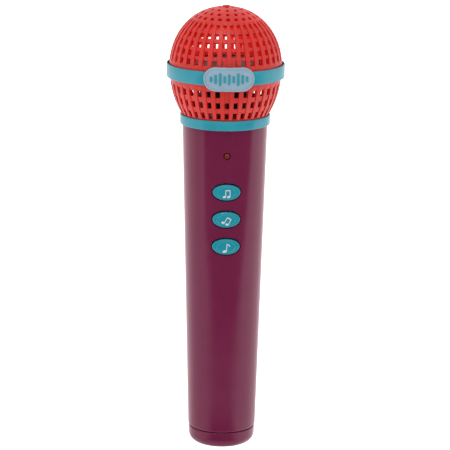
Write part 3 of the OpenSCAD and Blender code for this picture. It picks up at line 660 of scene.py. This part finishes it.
dress(moulded("boot_rubber", (0.025, 0.025, 0.025), 0.65, 0.15, 2500, 0.02), "mic_boot")
dress(moulded("capsule_can", (0.65, 0.66, 0.68), 0.3, 0.08, 2500, 0.006, metal=1.0), "mic_capsule")


# ---- Grilles ----
# The head is two red mouldings about 2 mm thick. Upright ribs stand proud of the cross bars between
# square holes; the crown of the upper one is plain, with holes in smaller rings.

red = moulded("satin_red", (0.58, 0.015, 0.009), 0.36, 0.05, 1800, 0.006, glow=0.35)
equator = 206.6
dome_radius = 30.0
dome_height = 32.8
dome_power = 2.1
bowl_radius = 29.7
bowl_depth = 39.0
grille_wall = 2.0
groove = 0.5
column_pitch = 10.0
hole_sweep = 5.0
rib_slope = 0.25


def dome_at(turn, up, inset):
    """The upper grille's surface: (r / a) ** n + (h / b) ** n = 1 with n = dome_power, a little squarer
    than an ellipse, at the angle up and taken in by inset."""
    radius = (dome_radius - inset) * np.cos(np.radians(up)) ** (2 / dome_power)
    height = equator + (dome_height - inset) * np.sin(np.radians(up)) ** (2 / dome_power)
    return np.stack([radius * np.sin(np.radians(turn)), -radius * np.cos(np.radians(turn)), height], -1)


def bowl_at(turn, z, inset):
    """The lower grille's surface: an ellipse that narrows downwards, taken in by inset."""
    radius = bowl_radius * np.sqrt(1 - ((equator - z) / bowl_depth) ** 2) - inset
    turn, radius, height = np.broadcast_arrays(np.radians(turn), radius, z)
    return np.stack([radius * np.sin(turn), -radius * np.cos(turn), height], -1)


def pierced_wall(turns, levels, surface, inset, open_cells, wall):
    """A closed wall over a grid of turns (which close on themselves) and levels. inset lowers the outer
    surface point by point; open_cells are cut right through, and their sides are walled."""
    rows, columns = len(levels), len(turns)
    t, v = np.meshgrid(turns, levels)
    outer = surface(t, v, inset)
    inner = surface(t, v, np.full(inset.shape, wall))
    count = rows * columns
    i, j = np.nonzero(~open_cells)
    k = (j + 1) % columns
    quad = np.stack([i * columns + j, i * columns + k, (i + 1) * columns + k, (i + 1) * columns + j], -1)
    faces = [quad, quad[:, ::-1] + count]

    def side_wall(a, b, flip):
        """Quads from the outer surface to the inner along the lines from a to b."""
        strip = np.stack([a, b, b + count, a + count], -1)
        return strip[:, ::-1] if flip else strip

    for shift, flip in ((1, False), (-1, True)):
        i, j = np.nonzero(open_cells & ~np.roll(open_cells, shift, 1))
        edge = j if shift == 1 else (j + 1) % columns
        faces.append(side_wall(i * columns + edge, (i + 1) * columns + edge, flip))
    closed_row = np.zeros((1, columns), bool)
    below = np.vstack([closed_row, open_cells[:-1]])
    above = np.vstack([open_cells[1:], closed_row])
    i, j = np.nonzero(open_cells & ~below)
    faces.append(side_wall(i * columns + j, i * columns + (j + 1) % columns, True))
    i, j = np.nonzero(open_cells & ~above)
    faces.append(side_wall((i + 1) * columns + j, (i + 1) * columns + (j + 1) % columns, False))
    points = np.concatenate([outer.reshape(-1, 3), inner.reshape(-1, 3)])
    return points, np.concatenate(faces)


def column_turns(first, pitch, sweep, across, between):
    """Turns of the grid's upright lines: across steps over each hole, a slope up to the rib beside it,
    and between steps over each rib. Also which spaces lie over holes, and which lines in grooves."""
    hole = np.linspace(-sweep / 2, sweep / 2, across + 1)
    rib = np.linspace(sweep / 2 + rib_slope, pitch - sweep / 2 - rib_slope, between + 1)
    one = np.r_[hole, rib]
    turns = (first + np.arange(round(360 / pitch)) * pitch)[:, None] + one[None, :]
    over_hole = np.tile(np.r_[np.ones(across, bool), np.zeros(between + 2, bool)], len(turns))
    in_groove = np.tile(np.r_[np.ones(across + 1, bool), np.zeros(between + 1, bool)], len(turns))
    return turns.ravel(), over_hole, in_groove


def level_lines(low, high, holes, height, step):
    """Levels of the grid's cross lines from low to high: there is one at each edge of a row of holes, and
    what lies between is divided into even steps."""
    stops = [low]
    for middle in holes:
        stops += [middle - height / 2, middle + height / 2]
    stops.append(high)
    spans = [np.linspace(a, b, max(1, int(np.ceil((b - a) / step))) + 1) for a, b in zip(stops, stops[1:])]
    return np.unique(np.round(np.concatenate(spans), 5))


def in_rows(levels, rows, height):
    """Whether each space between levels lies in one of the rows of holes."""
    middles = (levels[1:] + levels[:-1]) / 2
    return np.any([np.abs(middles - row) < height / 2 for row in rows], axis=0)


def near_front(turns, middle, reach):
    """Whether each turn lies within reach of the middle, which is near the front."""
    return np.abs((turns + 180) % 360 - 180 - middle) < reach


def grooves(levels, in_groove, low, high, slope):
    """How far each point lies below the ribs: groove deep between low and high, with sloping ends."""
    share = np.clip(np.minimum(levels - low, high - levels) / slope, 0, 1)
    return groove * share[:, None] * in_groove[None, :]


def zip_rings(first, first_turns, second, second_turns):
    """Triangles between two rings of points on one smooth surface. The edges of both rings are taken in
    the order of their middles' turns, and each is joined to the point that the other ring has reached."""
    rings = (first, second)
    edges = []
    for side, turns_of in enumerate((first_turns, second_turns)):
        middles = (turns_of + np.r_[turns_of[1:], turns_of[0] + 360]) / 2
        edges += [(float(middle - first_turns[0]) % 360, side, i) for i, middle in enumerate(middles)]
    edges.sort()
    reached = [next(i for _, side, i in edges if side == wanted) for wanted in (0, 1)]
    faces = []
    for _, side, i in edges:
        after = (i + 1) % len(rings[side])
        face = [int(rings[side][i]), int(rings[side][after]), int(rings[1 - side][reached[1 - side]])]
        faces.append(face if side == 0 else face[::-1])
        reached[side] = after
    return faces


dome_rows = [11.5, 19.7, 28.5, 37.8, 48.6]
dome_hole = 5.2
belt_top = 53.5
pad_reach = 6.2
turns, over_hole, in_groove = column_turns(column_pitch / 2, column_pitch, hole_sweep, 4, 3)
ups = level_lines(0, belt_top, dome_rows, dome_hole, 2.2)
open_cells = in_rows(ups, dome_rows, dome_hole)[:, None] & over_hole[None, :]
# a closed pad at the front takes the place of holes in the lowest row
pad = near_front(turns, -hole_sweep / 8, pad_reach)
open_cells &= ~(in_rows(ups, dome_rows[:1], dome_hole)[:, None] & pad[None, :])
inset = grooves(ups, in_groove, 8.2, 52.9, 0.6)
belt_points, belt_faces = pierced_wall(turns, ups, dome_at, inset, open_cells, grille_wall)
# the crown: rings of (angle up, number of holes, sweep of a hole), zipped to each other and to the belt
crown_rows = [(58, 24, 6.6), (65.9, 18, 7.8), (74.4, 12, 11), (83.6, 6, 20)]
crown_hole = 4.0
crown_top = 86.2
all_points = [belt_points]
all_faces = belt_faces.tolist()
count = len(belt_points)
last_outer = np.arange(len(turns)) + (len(ups) - 1) * len(turns)
last_inner = last_outer + len(ups) * len(turns)
last_turns = turns
lows = [belt_top + 0.7] + [(a[0] + b[0]) / 2 for a, b in zip(crown_rows, crown_rows[1:])] + [crown_top]
for (up, number, sweep), low, high in zip(crown_rows, lows, lows[1:]):
    ring_turns, ring_hole, _ = column_turns(0, 360 / number, sweep, 3, max(2, round(60 / number)))
    ring_ups = level_lines(low + 0.15, high - 0.15, [up], crown_hole, 1.5)
    cells = in_rows(ring_ups, [up], crown_hole)[:, None] & ring_hole[None, :]
    flush = np.zeros((len(ring_ups), len(ring_turns)))
    wall_points, wall_faces = pierced_wall(ring_turns, ring_ups, dome_at, flush, cells, grille_wall)
    all_points.append(wall_points)
    all_faces += (wall_faces + count).tolist()
    first_outer = np.arange(len(ring_turns)) + count
    first_inner = first_outer + len(ring_ups) * len(ring_turns)
    all_faces += zip_rings(last_outer, last_turns, first_outer, ring_turns)
    all_faces += [face[::-1] for face in zip_rings(last_inner, last_turns, first_inner, ring_turns)]
    last_outer = first_outer + (len(ring_ups) - 1) * len(ring_turns)
    last_inner = last_outer + len(ring_ups) * len(ring_turns)
    last_turns = ring_turns
    count += len(wall_points)
# the pole: a small round button outside, and a flat disc inside
crown_button = 1.9
crown_rise = 0.6
button_foot = dome_height * (1 - (crown_button / dome_radius) ** dome_power) ** (1 / dome_power)
button_top = dome_height + crown_rise
button_edge = 0.15
for radius, height in ((crown_button, button_foot), (crown_button, button_top - button_edge),
                       (crown_button - button_edge, button_top), (0.9, button_top)):
    turn = np.radians(last_turns)
    all_points.append(np.stack(
        [radius * np.sin(turn), -radius * np.cos(turn), np.full(len(turn), equator + height)], -1))
    current = np.arange(len(turn)) + count
    all_faces += ring_faces(last_outer, current)
    last_outer = current
    count += len(turn)
all_faces.append(last_outer.tolist())
all_faces.append(last_inner[::-1].tolist())
# the lower edge joins the outer and inner walls
bottom = np.arange(len(turns))
all_faces += ring_faces(bottom + len(ups) * len(turns), bottom)
points = np.concatenate(all_points)
upper = add_piece(
    "upper_grille_moulding", points, all_faces, "microphone", red, ["upper_grille"])
round_edges(upper, 0.16, 2, 50)

bowl_rows = [equator - 21.7, equator - 15.7, equator - 9.6]
bowl_hole = 3.3
bowl_turn = -1.6
bowl_bottom = 181.75
turns, over_hole, in_groove = column_turns(bowl_turn, column_pitch, hole_sweep, 2, 3)
levels = level_lines(bowl_bottom, equator - 0.6, bowl_rows, bowl_hole, 1.5)
open_cells = in_rows(levels, bowl_rows, bowl_hole)[:, None] & over_hole[None, :]
# the hole behind the middle of the badge is left closed
behind_badge = near_front(turns, bowl_turn, 3)
open_cells &= ~(in_rows(levels, bowl_rows[-1:], bowl_hole)[:, None] & behind_badge[None, :])
inset = grooves(levels, in_groove, bowl_bottom + 0.9, equator - 7.4, 0.4)
points, faces = pierced_wall(turns, levels, bowl_at, inset, open_cells, grille_wall)
bottom = np.arange(len(turns))
top_ring = bottom + (len(levels) - 1) * len(turns)
inner = len(levels) * len(turns)
faces = faces.tolist() + ring_faces(bottom + inner, bottom) + ring_faces(top_ring, top_ring + inner)
# the bowl's floor, which carries the cup
points, faces = joined((points, faces), square_ring(9, 21.2, 181.8, 183.3))
lower = add_piece(
    "lower_grille_moulding", points, faces, "microphone", red, ["lower_grille"])
round_edges(lower, 0.16, 2, 50)


# ---- Head band ----
# A thin teal hoop round the equator. Its inner flange is clamped between the two grilles, so the
# hoop stands a little off them and a dark line shows along its edges.

band_radius = 31.4
band_middle = equator - 0.7
band_height = 7.2
band_low, band_high = band_middle - band_height / 2, band_middle + band_height / 2
# the hoop and its flange
points, faces = joined(
    lathe(ring_profile(band_radius - 0.7, band_radius, band_low, band_high, 0.35), 192),
    square_ring(28.1, 30.6, equator - 1.05, equator - 0.15, 192))
add_piece("head_band_hoop", points, faces, "microphone", teal, ["head_band"])


# ---- Badge ----
# A pale blue obround plate with a slim raised rim, welded to the front of the band. Plain teal bars
# of different heights are raised on it.

badge_width = 26.6
badge_height = 12.5
badge_face = band_radius + 0.8
badge_rim = 0.4
rim_width = 0.8
bar_height = 0.35
bar_lengths = [3, 4.8, 6.6, 3.8, 5.6, 3.8, 6.6, 4.8, 3]
bar_pitch = 2.35
bar_width = 1.35
pale_blue = moulded("satin_pale_blue", (0.24, 0.365, 0.45), 0.28, 0.05, 1800, 0.004)
bar_paint = moulded("bar_paint", (0.012, 0.25, 0.32), 0.4, 0.08, 2500, 0.01)


def rounded_grid(width, height, corner, insets, steps_x, steps_z):
    """A grid over a rounded rectangle, with lines at the insets from its edge. In each corner square the
    lines bend into arcs: a point keeps its larger offset, and takes that as its radius."""
    def axis(length, steps):
        """Grid lines along one direction."""
        half = length / 2
        edge = half - np.asarray([d for d in insets if d < corner] + [corner])
        middle = np.linspace(corner - half, half - corner, steps + 1)
        return np.unique(np.round(np.r_[-edge, middle, edge], 6))
    x, z = np.meshgrid(axis(width, steps_x), axis(height, steps_z))
    cx = np.clip(x, corner - width / 2, width / 2 - corner)
    cz = np.clip(z, corner - height / 2, height / 2 - corner)
    qx, qz = x - cx, z - cz
    long = np.hypot(qx, qz)
    shrink = np.where(long > 1e-9, np.maximum(np.abs(qx), np.abs(qz)) / np.maximum(long, 1e-9), 1)
    x, z = cx + qx * shrink, cz + qz * shrink
    depth = corner - np.hypot(qx, qz) * shrink
    return x, z, depth


def slab(top, bottom):
    """A closed solid between two grids of points with the same rows and columns."""
    rows, columns = top.shape[:2]
    count = rows * columns
    points = np.concatenate([top.reshape(-1, 3), bottom.reshape(-1, 3)])
    upper = grid_faces(rows, columns)
    under = [face[::-1] for face in grid_faces(rows, columns, count)]
    index = np.arange(count).reshape(rows, columns)
    rim = np.concatenate([index[0, :-1], index[:-1, -1], index[-1, :0:-1], index[:0:-1, 0]])
    after = np.roll(rim, -1)
    sides = np.stack([rim, rim + count, after + count, after], -1).tolist()
    return points, upper + under + sides


def on_band(x, z, radius):
    """The front point of an upright cylinder at x and z above the band's middle."""
    return np.stack([x, -np.sqrt(radius ** 2 - x ** 2), z + band_middle], -1)


def edge_drop(depth, width, fall):
    """How far a rounded edge lies below the face, at a depth inside the outline: fall * (1 - sqrt(1 -
    t * t)), where t grows from 0 at width inside to 1 at the outline."""
    return fall * (1 - np.sqrt(1 - np.clip(1 - depth / width, 0, 1) ** 2))


x, z, depth = rounded_grid(badge_width, badge_height, badge_height / 2,
                           [0, 0.05, 0.15, 0.3, 0.5, 0.65, 0.72, 0.8, 0.95, 1.4, 2.2, 3.4, 4.8], 14, 1)
lift = badge_rim * (1 - eased((depth - rim_width + 0.15) / 0.25)) - edge_drop(depth, 0.3, 0.3)
points, faces = slab(on_band(x, z, badge_face + lift), on_band(x, z, np.full(x.shape, band_radius + 0.03)))
add_piece("badge_plate", points, faces, "microphone", pale_blue, ["badge"])

bars = []
for place, length in enumerate(bar_lengths):
    x, z, depth = rounded_grid(bar_width, length, bar_width / 2, [0, 0.06, 0.15, 0.3, 0.5], 1, 6)
    x = x + (place - len(bar_lengths) // 2) * bar_pitch
    bars.append(slab(on_band(x, z, badge_face + bar_height - edge_drop(depth, 0.15, 0.12)),
                     on_band(x, z, np.full(x.shape, badge_face - 0.1))))
points, faces = joined(*bars)
add_piece("badge_level_bars", points, faces, "microphone", bar_paint, ["badge_bars"])


# ---- Song keys ----
# Three oval teal caps with crowned tops and rounded edges. Each slides in its opening on a flange
# behind the wall, and carries a raised pale note.

key_width = 14.6
key_height = 8.4
key_rise = 1.3
key_crown = 0.3
key_step = 0.16
key_fillet = 0.4
key_back = 15.5
flange_front = 16.5
flange_reach = 1.1
note_rise = 0.14
note_root = 0.1
gloss_teal = moulded("gloss_teal", (0.012, 0.235, 0.3), 0.12, 0.06, 1800, 0.002)
note_paint = moulded("note_paint", (0.55, 0.55, 0.62), 0.4, 0.05, 2500, 0.008)


def key_face(x, z, middle):
    """The crowned top of a key: the handle's surface, raised most in the middle of the oval, with a low
    eased step round it."""
    share = (2 * x / key_width) ** 2 + (2 * (z - middle) / key_height) ** 2
    return on_handle(x, z, -1, key_rise - key_crown * share - key_step * eased((share - 0.42) / 0.1))


def song_key(name, middle):
    """A key as rings of an oval from the middle of its top, over the rounded edge and down the sides."""
    turn = np.linspace(0, 2 * np.pi, 96, endpoint=False)
    normal = np.stack([np.cos(turn) / key_width, np.sin(turn) / key_height], -1)
    normal /= np.linalg.norm(normal, axis=1, keepdims=True)

    def oval(inset):
        """The key's oval, taken in by inset."""
        return (key_width / 2 * np.cos(turn) - inset * normal[:, 0],
                key_height / 2 * np.sin(turn) - inset * normal[:, 1])

    rings = []
    for share in (0.002, 0.2, 0.4, 0.6, 0.68, 0.71, 0.73, 0.75, 0.77, 0.79, 0.82, 0.9, 1.0):
        x, z = oval(key_fillet)
        rings.append(key_face(x * share, middle + z * share, middle))
    for angle in np.radians(np.linspace(12, 90, 6)):
        x, z = oval(key_fillet * (1 - np.sin(angle)))
        ring = key_face(x, middle + z, middle)
        ring[:, 1] += key_fillet * (1 - np.cos(angle))
        rings.append(ring)
    for inset, depth in ((0, flange_front), (-flange_reach, flange_front), (-flange_reach, key_back),
                         (key_height / 4, key_back)):
        x, z = oval(inset)
        rings.append(np.stack([x, np.full(len(x), -depth), middle + z], -1))
    points = np.concatenate(rings)
    faces = grid_faces(len(rings), len(turn), wrap=True)
    faces.append(list(range(len(turn))))
    faces.append(list(range(len(points) - len(turn), len(points)))[::-1])
    add_piece(f"key_{name}_cap", points, faces, f"key_{name}", gloss_teal, [f"key_{name}"])


def note_stroke(path, width):
    """A ribbon of the given width along a path of (x, z) points, as a grid of its two edges and middle."""
    path = np.asarray(path, float)
    way = np.gradient(path, axis=0)
    way /= np.linalg.norm(way, axis=1, keepdims=True)
    side = np.stack([-way[:, 1], way[:, 0]], -1)
    across = np.array([-0.5, -0.3, 0, 0.3, 0.5]) * width
    return path[:, None, :] + side[:, None, :] * across[None, :, None]


def note_head(cx, cz, long, short, tilt):
    """An oval head, as a grid that bends into the oval."""
    u, v, _ = rounded_grid(2, 2, 1, [0, 0.15, 0.4, 0.7], 1, 1)
    c, s = math.cos(math.radians(tilt)), math.sin(math.radians(tilt))
    return np.stack([cx + long * u * c - short * v * s, cz + long * u * s + short * v * c], -1)


def line_between(*stops):
    """Points evenly spaced along straight lines between stops."""
    stops = np.asarray(stops, float)
    pieces = [np.linspace(a, b, 9)[:-1] for a, b in zip(stops, stops[1:])]
    return np.concatenate(pieces + [stops[-1:]])


def turned(grids, angle, shift):
    """The same grids turned anticlockwise about the middle by the angle in degrees, then shifted."""
    c, s = math.cos(math.radians(angle)), math.sin(math.radians(angle))
    matrix = np.array([[c, s], [-s, c]])
    return [grid @ matrix + np.asarray(shift) for grid in grids]


def raised_note(name, middle, grids):
    """Thin raised print on a key: each grid of (x, z) offsets becomes a slab on the key's top."""
    slabs = []
    for grid in grids:
        face = key_face(grid[..., 0], grid[..., 1] + middle, middle)
        slabs.append(slab(face - [0, note_rise, 0], face + [0, note_root, 0]))
    points, faces = joined(*slabs)
    add_piece(
        f"note_{name}_print", points, faces, f"key_{name}", note_paint, [f"mark_{name}"])


for name, middle in key_heights.items():
    song_key(name, middle)
stem = 0.42
pair = [
    note_head(-1.15, -1.9, 0.85, 0.62, 15), note_head(1.15, -1.85, 0.85, 0.62, 15),
    note_stroke(line_between((-0.45, -1.8), (-0.42, 1.5)), stem),
    note_stroke(line_between((1.85, -1.75), (1.8, 1.4)), stem),
    note_stroke(line_between((-0.6, 1.6), (2.0, 1.6)), 0.55),
]
raised_note("top", key_heights["top"], turned(pair, 0, (-0.1, -0.25)))
raised_note("middle", key_heights["middle"], turned(pair, -28, (0.1, -0.2)))
swing = np.linspace(0, 1, 12)
single = [
    note_head(-0.75, -2.35, 1.15, 0.7, 15),
    note_stroke(line_between((0.25, -2.3), (0.5, 1.7)), stem),
    note_stroke(np.stack([0.4 + 1.7 * swing, 1.65 - 0.5 * swing - 0.85 * swing ** 3], -1), 0.5),
]
raised_note("bottom", key_heights["bottom"], single)


# ---- Indicator lamp ----
# A lamp 3.5 mm across, cast in clear red resin. Its domed tip shows in a hole above the keys, and its
# collar rests behind the wall.

lamp_resin = moulded("lamp_resin", (0.3, 0.02, 0.01), 0.1, 0.1, 1500, 0.002, clear=0.4)
lamp_radius = 1.75
lamp_collar = 0.35
tip_length = 1.2
collar_front = -14.2
collar_back = -13.4
lamp_front = -float(handle_radius(lamp_height)) + 0.15


def lamp_points():
    """The lamp as rings about a line along Y: a domed tip, straight sides and a wider base ring."""
    dome = np.radians(np.linspace(2, 90, 10))
    wide = lamp_radius + lamp_collar
    radius = np.r_[lamp_radius * np.sin(dome), [lamp_radius, wide, wide, 0.02]]
    along = np.r_[lamp_front + tip_length * (1 - np.cos(dome)),
                  [collar_front, collar_front, collar_back, collar_back]]
    turn = np.linspace(0, 2 * np.pi, 48, endpoint=False)
    return np.stack([
        radius[:, None] * np.cos(turn), np.broadcast_to(along[:, None], (len(radius), len(turn))),
        lamp_height + radius[:, None] * np.sin(turn)], -1)


points = lamp_points()
rows, columns = points.shape[:2]
faces = grid_faces(rows, columns, wrap=True)
faces.append(list(range(columns)))
faces.append(list(range((rows - 1) * columns, rows * columns))[::-1])
add_piece("lamp_lens", points, faces, "microphone", lamp_resin, ["indicator_lamp"])


# ---- Battery door ----
# A moulded plum panel set flush in the rear shell. Two tabs hook under the shell at its lower edge, and
# a screw in a sunk hole near the top holds it. A notch in the top edge is there for a fingernail.

door_screw_z = 86.0
door_gap = 0.2
screw_sink = 2.4
sunk_radius = 2.9
shank_radius = 1.6
boss_radius = 3.6
boss_length = 3.0
notch_width = 9.0
notch_radius = 1.2
tab_places = (-7, 7)
tab_under = 12.9


def door_panel():
    """The door as a closed ring of rings. Lines run from a round hole to the door's outline, and a point
    at share s of a line is hole + s * (outline - hole). From the outline the rings go in over the outer
    skin, down the sunk hole, through the boss and out again over the inner skin."""
    half_x = door_width / 2 - door_gap
    half_z = (door_top - door_bottom) / 2 - door_gap
    corner = door_corner - door_gap
    outline_x, outline_z = [], []
    for sx, sz, start in ((1, 1, 0), (-1, 1, 90), (-1, -1, 180), (1, -1, 270)):
        turn = np.radians(np.linspace(start, start + 90, 9))
        outline_x.append(sx * (half_x - corner) + corner * np.cos(turn))
        outline_z.append(sz * (half_z - corner) + corner * np.sin(turn))
    x, z = np.concatenate(outline_x), np.concatenate(outline_z)
    x, z = np.r_[x, x[0]], np.r_[z, z[0]]
    # more points along the outline, none more than 0.9 mm apart and none closer than 0.05 mm
    run = np.r_[0, np.cumsum(np.hypot(np.diff(x), np.diff(z)))]
    places = np.unique(np.r_[run[:-1], np.arange(0, run[-1], 0.9)])
    places = places[np.r_[True, np.diff(places) > 0.05]]
    x, z = np.interp(places, run, x), np.interp(places, run, z)
    z = z + (door_top + door_bottom) / 2 - door_screw_z
    reach = np.hypot(x, z)
    hole_x, hole_z = x / reach, z / reach

    def ring(radius, share, lift=None, y=None):
        """Points at share of the way from the hole's radius to the outline, on a skin or at y."""
        at_x = radius * hole_x + share * (x - radius * hole_x)
        at_z = radius * hole_z + share * (z - radius * hole_z) + door_screw_z
        if y is not None:
            return np.stack([at_x, np.full(at_x.shape, y), at_z], -1)
        points = on_handle(at_x, at_z, 1, lift)
        if lift == 0:
            # the notch is part of a lying cylinder whose line is just outside the skin
            notch_y, notch_z = handle_radius(door_top) + 0.4, door_top - 0.6
            dip = notch_y - np.sqrt(np.maximum(notch_radius ** 2 - (at_z - notch_z) ** 2, 0))
            notched = (np.abs(at_x) < notch_width / 2) & (np.abs(at_z - notch_z) < notch_radius)
            points[:, 1] = np.where(notched, np.minimum(points[:, 1], dip), points[:, 1])
        return points

    shares = np.linspace(1, 0, 17)
    skin = handle_radius(door_screw_z)
    seat = skin - screw_sink
    boss_end = skin - handle_wall - boss_length
    rings = [ring(sunk_radius, share, lift=0) for share in shares]
    rings += [ring(sunk_radius, 0, y=seat), ring(shank_radius, 0, y=seat)]
    rings += [ring(shank_radius, 0, y=boss_end), ring(boss_radius, 0, y=boss_end)]
    rings += [ring(boss_radius, share, lift=-handle_wall) for share in shares[::-1]]
    rings.append(rings[0])
    count = len(x)
    faces = np.array(grid_faces(len(rings), count, wrap=True)) % (count * (len(rings) - 1))
    return np.concatenate(rings[:-1]), faces.tolist()


def door_tabs():
    """Two blocks under the panel's lower edge, whose tops follow the curve of the shell's inner skin,
    and rise into the panel above the edge."""
    blocks = []
    for middle in tab_places:
        x, z = np.meshgrid(middle + np.linspace(-2, 2, 5), [18.8, 20.4, 21.98, 22.02, 23.5, 25])
        top = on_handle(x, z, 1, np.where(z < 22, -handle_wall - 0.2, -handle_wall / 2))
        blocks.append(slab(top, np.stack([x, np.full(x.shape, tab_under), z], -1)))
    return joined(*blocks)


points, faces = door_panel()
door = add_piece(
    "battery_door_panel", points, faces, "battery_door", plum, ["battery_door"])
round_edges(door, 0.2, 2)
points, faces = door_tabs()
add_piece("battery_door_tabs", points, faces, "battery_door", plum)


# ---- Power switch ----
# A black knob with finger grooves slides in a shallow recess at the rear. It moves a small switch in
# a pressed steel can.

dress(moulded("black_knob", (0.018, 0.018, 0.02), 0.4, 0.15, 2500, 0.02), "switch_knob")
dress(moulded("pressed_steel", (0.5, 0.5, 0.52), 0.35, 0.1, 2500, 0.01, metal=1.0), "switch_body")
